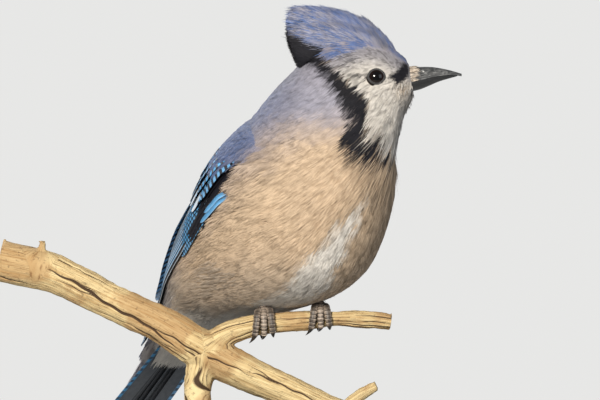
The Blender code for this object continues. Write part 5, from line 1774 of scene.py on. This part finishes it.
def add_floor(scene, colour):
    """A pale round floor that fades out towards its edge."""
    n = FLOOR_SIDES
    a = np.linspace(0, 2 * math.pi, n, endpoint=False)
    points = np.concatenate([np.stack([r * np.cos(a), r * np.sin(a), 0 * a], -1) for r in FLOOR_RINGS])
    faces = [(i * n + k, i * n + (k + 1) % n, (i + 1) * n + (k + 1) % n, (i + 1) * n + k)
             for i in range(len(FLOOR_RINGS) - 1) for k in range(n)]
    faces.append(tuple(range(n - 1, -1, -1)))
    mesh = bpy.data.meshes.new("floor")
    mesh.from_pydata(points.tolist(), [], faces)
    floor = bpy.data.objects.new("floor", mesh)
    scene.collection.objects.link(floor)
    made, tree, shader = finish("floor", 0.8)
    shader.inputs["Base Color"].default_value = rgba(colour)
    far = wire(tree, "ShaderNodeVectorMath", {0: position(tree)}, operation="LENGTH").outputs["Value"]
    tree.links.new(ramp(tree, far, *FLOOR_FADE, 1.0, 0.0), shader.inputs["Alpha"])
    mesh.materials.append(made)


def add_world(scene):
    """A pale background, and weaker cool light from all round."""
    world = bpy.data.worlds.new("studio")
    scene.world = world
    world.use_nodes = True
    tree = world.node_tree
    tree.nodes.clear()
    seen = wire(tree, "ShaderNodeBackground", {"Color": (0.80, 0.80, 0.79, 1), "Strength": 1.0})
    around = wire(tree, "ShaderNodeBackground", {"Color": (0.9, 0.93, 1.0, 1), "Strength": 0.2})
    path = wire(tree, "ShaderNodeLightPath")
    mixed = wire(tree, "ShaderNodeMixShader", {0: path.outputs["Is Camera Ray"], 1: around.outputs[0],
                                               2: seen.outputs[0]})
    wire(tree, "ShaderNodeOutputWorld", {"Surface": mixed.outputs[0]})


def add_lamp(scene, name, spot, power, size, colour):
    """A square soft light that faces the bird."""
    light = bpy.data.lights.new(name, "AREA")
    light.energy, light.size, light.color = power, size, colour
    lamp = bpy.data.objects.new(name, light)
    lamp.location = spot
    lamp.rotation_euler = (Vector(LIGHT_TARGET) - Vector(spot)).to_track_quat("-Z", "Y").to_euler()
    scene.collection.objects.link(lamp)


def add_camera(scene, distance):
    """A camera that sees the bird as the photograph does."""
    lens = bpy.data.cameras.new("camera")
    lens.sensor_width = 36
    lens.lens = lens.sensor_width * distance / (PHOTO_WIDTH * PHOTO_SCALE * MM)
    lens.clip_end = 50
    camera = bpy.data.objects.new("camera", lens)
    across, up = VIEW_CENTRE
    camera.location = ((across + SPOT[0]) * MM, SPOT[1] * MM - distance, (up + SPOT[2]) * MM)
    camera.rotation_euler = (math.pi / 2, 0, 0)
    scene.collection.objects.link(camera)
    scene.camera = camera


class MakeStage(bpy.types.Operator):
    """Pale floor, soft studio light and the camera"""
    bl_idname = "jay.stage"
    bl_label = "Floor, light and camera"

    def execute(self, context):
        scene, settings = context.scene, context.scene.jay_stage
        scene.view_settings.view_transform = "Standard"
        add_floor(scene, settings.floor)
        add_world(scene)
        add_lamp(scene, "key", (-0.42, -1.8, 0.72), settings.key, 0.3, (1.0, 0.94, 0.85))
        add_lamp(scene, "fill", (1.3, -0.9, 0.5), settings.fill, 0.9, (0.86, 0.92, 1.0))
        add_lamp(scene, "rim", (-0.7, 1.2, 1.0), settings.rim, 0.5, (0.9, 0.95, 1.0))
        add_camera(scene, settings.distance)
        return {"FINISHED"}


OPERATORS = (MakeSkin, MakeCoat, MakeFace, MakeCrest, MakeWings, MakeTail, MakeEyes, MakeBill, MakeFeet,
             MakePerch, MakeStand, MakeStage)
SETTINGS = (("jay_plumage", PlumageSettings), ("jay_bare", BareSettings), ("jay_perch", PerchSettings),
            ("jay_stage", StageSettings))


class JayPanel(bpy.types.Panel):
    """Every step and every setting in the sidebar"""
    bl_label = "Blue jay"
    bl_idname = "JAY_PT_panel"
    bl_space_type = "VIEW_3D"
    bl_region_type = "UI"
    bl_category = "Blue jay"

    def draw(self, context):
        for operator in OPERATORS:
            self.layout.operator(operator.bl_idname)
        for key, group in SETTINGS:
            box = self.layout.box()
            for name in group.__annotations__:
                box.prop(getattr(context.scene, key), name)


def register():
    """Adds the settings, the operators and the panel."""
    for kind in [group for _, group in SETTINGS] + list(OPERATORS) + [JayPanel]:
        bpy.utils.register_class(kind)
    for key, group in SETTINGS:
        setattr(bpy.types.Scene, key, PointerProperty(type=group))


def unregister():
    """Takes them away again."""
    for key, _ in SETTINGS:
        delattr(bpy.types.Scene, key)
    for kind in [JayPanel] + list(OPERATORS) + [group for _, group in SETTINGS]:
        bpy.utils.unregister_class(kind)


def main():
    """Makes every piece in turn."""
    register()
    for operator in OPERATORS:
        getattr(bpy.ops.jay, operator.bl_idname.split(".")[1])()


if __name__ == "__main__":
    main()
